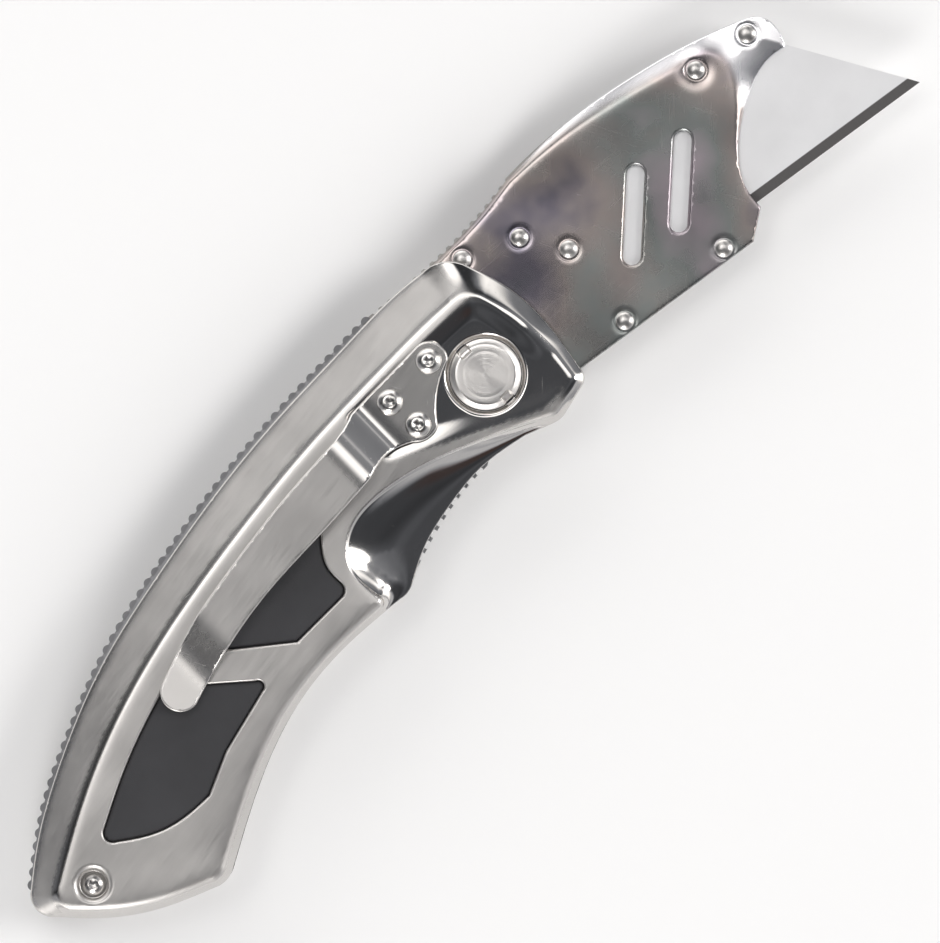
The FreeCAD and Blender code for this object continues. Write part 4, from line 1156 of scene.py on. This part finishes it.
class KNIFE_OT_inlays(bpy.types.Operator):
    """Build the four grip inlays"""
    bl_idname = "knife.inlays"
    bl_label = "Grip inlays"
    bl_options = {"REGISTER", "UNDO"}

    def execute(self, context):
        for side, over in (("front", False), ("rear", True)):
            for place, window in (("aft", AFT), ("fore", FORE)):
                edge = window - outward(window) * 0.09
                name = "%s_inlay_%s" % (side, place)
                top = lambda p, e=edge: (INLAY_OUT - round_over(distance(e, p), 0.45)
                                         - 0.10 * np.exp(-distance(e, p) / 2.5))
                piece = plate(name + "_pad", edge, [], top, INLAY_IN, 0.8,
                              [row(edge, -o) for o in (0.06, 0.16, 0.3, 0.5)], None, over)
                fit(piece, "handle", "inlay", "grip", name)
        return {"FINISHED"}


class KNIFE_OT_backspacer(bpy.types.Operator):
    """Build the toothed backspacer"""
    bl_idname = "knife.backspacer"
    bl_label = "Backspacer"
    bl_options = {"REGISTER", "UNDO"}

    def execute(self, context):
        sizes = context.scene.knife_details
        high, pitch = sizes.tooth_height / MM, sizes.tooth_pitch / MM
        spine = spline(SPACER_SPINE, 0.5)
        along = np.gradient(spine, axis=0)
        across = np.stack([-along[:, 1], along[:, 0]], axis=1) / np.linalg.norm(along, axis=1)[:, None]
        lower = spine + across * high
        outline = np.concatenate([lower, arc([lower[-1], (-99.7, -9.6), (-98.4, -12.0)], 0.5)[1:-1],
                                  spline(SPACER_INNER, 0.6)])
        half = SPACER_HALF - 0.02
        body = plate("backspacer_body", outline, [], lambda p: half - round_over(depth(outline, p), 0.12),
                     lambda p: round_over(depth(outline, p), 0.12) - half, 1.5, [row(outline, -0.1)])
        profile = [(math.cos(a) * pitch * 0.42, math.sin(a) * high * 1.9 - high * 0.9)
                   for a in np.linspace(0, math.pi, 11)]
        corners = [(x, y, z) for z in (-half, half) for x, y in profile]
        count = len(profile)
        faces = [list(range(count))[::-1], list(range(count, 2 * count))]
        faces += [[i, (i + 1) % count, (i + 1) % count + count, i + count] for i in range(count)]
        tooth = make_mesh("tooth", corners, faces)
        tooth.data.transform(Matrix.Translation(-Vector(PIVOT)))
        sharpen(tooth)
        path = bpy.data.meshes.new("spine line")
        line_points = np.column_stack([lower[::-1], np.zeros(len(lower))]) * MM + PIVOT
        path.from_pydata(line_points.tolist(), [(i, i + 1) for i in range(len(lower) - 1)], [])
        teeth = grow("backspacer_teeth", add_object("spine line", path), teeth_tree(),
                     {"Tooth": tooth, "Pitch": sizes.tooth_pitch, "Material": finish_for("backspacer")})
        bpy.data.objects.remove(tooth)
        fit(body, "handle", "backspacer", "backspacer", "backspacer")
        fit(teeth, "handle", "backspacer", "backspacer")
        return {"FINISHED"}


class KNIFE_OT_plates(bpy.types.Operator):
    """Build the carrier's two side plates"""
    bl_idname = "knife.plates"
    bl_label = "Carrier plates"
    bl_options = {"REGISTER", "UNDO"}

    def execute(self, context):
        spacing = context.scene.knife_details.spacing / MM
        rows = [row(PLATE_RING, -o) for o in (0.05, 0.12, 0.2, 0.5)]
        rows += [row(FLAT_RING, o) for o in (-0.5, -0.25, 0.0, 0.25, 0.55)]
        rows += [row(hole, o) for hole in SLOTS for o in (0.05, 0.12, 0.22, 0.34, 0.5)]
        rows += [circle(at, r, 0.25) for at in CARRIER_RIVETS for r in (1.15, 1.35, 1.55, 1.75, 2.0, 2.5)]
        for name, over in (("carrier_front_plate", False), ("carrier_rear_plate", True)):
            # The plates' polish mask marks the bevelled spine and beak, where a highlight is painted in near
            # white.
            piece = plate(name + "_skin", PLATE_RING, SLOTS, plate_top, PLATE_IN, spacing, rows,
                          {"polish": plate_bevel_highlight}, over)
            fit(piece, "carrier", "plate", "plate", name)
        return {"FINISHED"}


class KNIFE_OT_rivets(bpy.types.Operator):
    """Build the carrier's rivets"""
    bl_idname = "knife.rivets"
    bl_label = "Rivets"
    bl_options = {"REGISTER", "UNDO"}

    def execute(self, context):
        radius = context.scene.knife_details.rivet_radius / MM
        dome = arc_profile(radius - 0.05, 0.36, PLATE_OUT + 0.13, 8)
        half = [(radius - 0.1, PLATE_OUT - 0.1), (radius, PLATE_OUT), (radius, PLATE_OUT + 0.08)] + dome
        profile = [(r, -z) for r, z in half[::-1]] + half
        places = [(x, y, 0.0) for x, y in CARRIER_RIVETS]
        heights = [1 - BEAK_DROP / PLATE_OUT if x > BEAK_X else 1.0 for x, _ in CARRIER_RIVETS]
        master = lathe("master rivet", profile, 32)
        piece = fastened("carrier_rivet_heads", master, places, heights, 0.9, "rivet")
        fit(piece, "carrier", "rivet", "rivet", "carrier_rivets")
        return {"FINISHED"}


class KNIFE_OT_screws(bpy.types.Operator):
    """Build the clip, rear and tail screws"""
    bl_idname = "knife.screws"
    bl_label = "Screws"
    bl_options = {"REGISTER", "UNDO"}

    def execute(self, context):
        sizes = context.scene.knife_details
        head, socket = sizes.head_radius / MM, sizes.socket / MM
        clip = screws("clip_screw_heads", CLIP_SCREWS, PAD_FLOOR + CLIP_THICK, head, 1.0, socket)
        fit(clip, "handle", "screw", "screw", "clip_screws")
        rear = screws("rear_screw_heads", CLIP_SCREWS, REAR_SEAT, head, 1.0, socket, True)
        fit(rear, "handle", "screw", "screw", "rear_screws")
        tail = screws("tail_screw_head_front", [TAIL_SCREW], TAIL_SEAT, head + 0.05, 1.1, socket)
        fit(tail, "handle", "screw", "screw", "tail_screws")
        tail = screws("tail_screw_head_rear", [TAIL_SCREW], TAIL_SEAT, head + 0.05, 1.1, socket, True)
        fit(tail, "handle", "screw", "screw")
        return {"FINISHED"}


class KNIFE_OT_pivot(bpy.types.Operator):
    """Build the two pivot discs"""
    bl_idname = "knife.pivot"
    bl_label = "Pivot discs"
    bl_options = {"REGISTER", "UNDO"}

    def execute(self, context):
        rim = circle((0, 0), DISC_R, 0.3)
        rows = [circle((0, 0), r, 0.25) for r in (3.2, 3.35, 3.5, 4.1, 4.3, 4.5, 4.9, 5.02, 5.1, 5.16)]
        for side in (1, -1):
            for inset in (0.0, 0.06, 0.12):
                half, floor = SPANNER_R - inset, DISC_R - SPANNER_REACH + inset
                corners = [(-half, DISC_R - 0.08), (-half, floor), (half, floor), (half, DISC_R - 0.08)]
                rows += [line([(a[0], side * a[1]), (b[0], side * b[1])], 0.1)
                         for a, b in zip(corners, corners[1:])]
        rear_top = -height_of("pivot_sleeve", 0)
        for name, node, top, over in (("pivot_disc_front", "pivot_screw", DISC_TOP, False),
                                      ("pivot_disc_rear", "pivot_sleeve", rear_top, True)):
            piece = plate(name, rim, [], lambda p, t=top: disc_top(p, t), PIVOT_SEAT, 0.35, rows, None, over)
            fit(piece, "handle", "turned_steel", "turned", node)
        barrel = lathe("pivot_barrel", [(0.0, -PIVOT_SEAT), (BARREL_R, -PIVOT_SEAT), (BARREL_R, PIVOT_SEAT),
                                        (0.0, PIVOT_SEAT)])
        fit(barrel, "handle", "turned_steel", "turned")
        return {"FINISHED"}


class KNIFE_OT_clip(bpy.types.Operator):
    """Build the belt clip as one bent strip"""
    bl_idname = "knife.clip"
    bl_label = "Belt clip"
    bl_options = {"REGISTER", "UNDO"}

    def execute(self, context):
        rows = [row(CLIP_RING, -o) for o in (0.04, 0.1, 0.18, 0.3, 0.5)]
        masks = {"polish": clip_polish}
        strip = plate("belt_clip_strip", CLIP_RING, [], clip_top, clip_under, 0.4, rows, masks)
        strip.data.materials.append(finish_for("clip"))
        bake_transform(strip)
        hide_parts("belt_clip_base", "belt_clip_arm")
        return {"FINISHED"}


class KNIFE_OT_inner_parts(bpy.types.Operator):
    """Finish the parts whose CAD shape is shown"""
    bl_idname = "knife.inner_parts"
    bl_label = "Inner parts"
    bl_options = {"REGISTER", "UNDO"}

    def execute(self, context):
        looks = {"front_liner": "liner", "rear_liner": "liner", "lock_bar": "liner", "detent_ball": "pin",
                 "backspacer_pins": "pin", "closed_stop_pin": "pin", "pivot_washer": "bronze",
                 "carrier_core": "core", "lock_cam": "pin", "blade_spring": "spring", "blade": "blade",
                 "tail_standoff": "pin"}
        for node, look in looks.items():
            piece = frame["nodes"][node]
            if not piece.material_slots:
                piece.data.materials.append(None)
            for slot in piece.material_slots:
                slot.material = finish_for(look)
        return {"FINISHED"}


class KNIFE_OT_stage(bpy.types.Operator):
    """Set up the camera, the floor and the studio light"""
    bl_idname = "knife.stage"
    bl_label = "Stage"
    bl_options = {"REGISTER", "UNDO"}

    def execute(self, context):
        scene, stage = context.scene, context.scene.knife_stage
        scene.view_settings.view_transform = "Standard"
        camera = add_object("camera", bpy.data.cameras.new("camera"))
        camera.data.lens = stage.lens
        away = stage.view_height * stage.lens / camera.data.sensor_width
        middle = PIVOT + np.array([*VIEW_MIDDLE, SCALE_OUT]) * MM
        camera.location = (middle[0], middle[1], middle[2] + away)
        camera.rotation_euler = (0.0, 0.0, -stage.roll)
        camera.data.clip_end = 10.0
        scene.camera = camera
        ground = bpy.data.meshes.new("floor")
        ground.from_pydata([(x, y, 0.0) for x, y in ((-3, -3), (3, -3), (3, 3), (-3, 3))], [], [(0, 1, 2, 3)])
        floor = add_object("floor", ground)
        paint = bpy.data.materials.new("Floor")
        paint.use_nodes = True
        shader = paint.node_tree.nodes["Principled BSDF"]
        feed(paint.node_tree, shader, {"Base Color": stage.floor, "Roughness": 0.9})
        floor.data.materials.append(paint)
        studio_light(scene, stage.light)
        return {"FINISHED"}


ROOM_OVERHEAD = 0.09
# How the room's brightness changes with the angle from straight overhead.
ROOM_STEPS = [(10.0, 17.0, 0.10), (20.0, 34.0, 0.12), (46.0, 56.0, 2.6), (66.0, 84.0, -2.3)]
# Each panel: lean from overhead, side in degrees from the blade's end towards the spine, inner and outer
# radius in degrees, how much of the room it lets through and how bright it is itself.
PANELS = [
    (22.0, 118.0, 7.0, 12.0, 1.0, 1.6), (22.0, 95.0, 7.0, 12.0, 1.0, 1.2),
    (24.0, 72.0, 8.0, 16.0, 1.0, 1.6), (16.0, 15.0, 5.0, 11.0, 1.0, 1.8),
    (52.0, 92.0, 10.0, 22.0, 0.55, 0.0), (54.0, 126.0, 16.0, 28.0, 0.06, 0.0),
    (55.0, 163.0, 14.0, 30.0, 0.15, 0.0), (50.0, 270.0, 24.0, 42.0, 0.22, 0.0),
    (36.0, 195.0, 12.0, 28.0, 0.35, 0.0), (44.0, 35.0, 8.0, 18.0, 0.15, 0.0),
    (70.0, 2.0, 12.0, 26.0, 0.10, 0.0), (46.0, 325.0, 7.0, 11.0, 1.0, 9.0),
    (48.0, 218.0, 7.0, 11.0, 1.0, 9.0),
]
WARM_PANEL = (40.0, 250.0, 4.0, 14.0)
WARM_TINT = (0.95, 0.66, 0.60)
ROOM_TINTS = ((0.86, 0.90, 1.0), (1.0, 0.985, 0.97))    # of the room's dark and bright parts


def panel_share(tree, way, place):
    """1 in the middle of a panel, 0 outside it."""
    lean, side, inner, outer = (math.radians(value) for value in place)
    middle = (math.sin(lean) * math.cos(side), math.sin(lean) * math.sin(side), math.cos(lean))
    dot = add_node(tree, "ShaderNodeVectorMath", {0: way, 1: middle}, operation="DOT_PRODUCT")
    return remap(tree, dot.outputs["Value"], math.cos(outer), math.cos(inner), 0.0, 1.0, "SMOOTHSTEP")


def studio_light(scene, strength):
    """A pale room with soft boxes overhead, as a world light."""
    world = bpy.data.worlds.new("studio")
    scene.world = world
    world.use_nodes = True
    tree = world.node_tree
    way = tree.nodes.new("ShaderNodeTexCoord").outputs["Generated"]
    # The room from straight overhead to the floor's edge.
    angle = math_node(tree, "ARCCOSINE", add_node(tree, "ShaderNodeSeparateXYZ", {0: way}).outputs["Z"])
    total = None
    for low, high, change in ROOM_STEPS:
        part = remap(tree, angle, math.radians(low), math.radians(high), 0.0, change)
        total = part if total is None else plus(tree, total, part)
    total = plus(tree, total, ROOM_OVERHEAD)
    for *place, gain, bright in PANELS:
        share = panel_share(tree, way, place)
        kept = minus(tree, 1.0, times(tree, share, 1.0 - gain))
        total = plus(tree, times(tree, total, kept), times(tree, share, bright))
    tint = blend_colours(tree, remap(tree, total, 0.1, 0.9, 0.0, 1.0), *ROOM_TINTS)
    colour = blend_colours(tree, panel_share(tree, way, WARM_PANEL), tint, WARM_TINT)
    feed(tree, tree.nodes["Background"], {"Strength": times(tree, total, strength), "Color": colour})


OPERATORS = (KNIFE_OT_stage, KNIFE_OT_scales, KNIFE_OT_inlays, KNIFE_OT_backspacer, KNIFE_OT_plates,
             KNIFE_OT_rivets, KNIFE_OT_screws, KNIFE_OT_pivot, KNIFE_OT_clip, KNIFE_OT_inner_parts)


class KNIFE_PT_panel(bpy.types.Panel):
    """The knife's sizes, colours and build steps"""
    bl_idname = "KNIFE_PT_panel"
    bl_label = "Utility Knife"
    bl_space_type = "VIEW_3D"
    bl_region_type = "UI"
    bl_category = "Knife"

    def draw(self, context):
        scene = context.scene
        for title, group in (("Finishes", scene.knife_finishes), ("Details", scene.knife_details),
                             ("Stage", scene.knife_stage)):
            box = self.layout.box()
            box.label(text=title)
            for key in group.__annotations__:
                box.prop(group, key)
        for step in OPERATORS:
            self.layout.operator(step.bl_idname)


CLASSES = (KnifeFinishes, KnifeDetails, KnifeStage) + OPERATORS + (KNIFE_PT_panel,)


def register():
    for kind in CLASSES:
        bpy.utils.register_class(kind)
    bpy.types.Scene.knife_finishes = bpy.props.PointerProperty(type=KnifeFinishes)
    bpy.types.Scene.knife_details = bpy.props.PointerProperty(type=KnifeDetails)
    bpy.types.Scene.knife_stage = bpy.props.PointerProperty(type=KnifeStage)


def unregister():
    del bpy.types.Scene.knife_finishes, bpy.types.Scene.knife_details, bpy.types.Scene.knife_stage
    for kind in reversed(CLASSES):
        bpy.utils.unregister_class(kind)


def main():
    register()
    for step in OPERATORS:
        getattr(bpy.ops.knife, step.bl_idname.split(".")[1])()


if __name__ == "__main__":
    main()
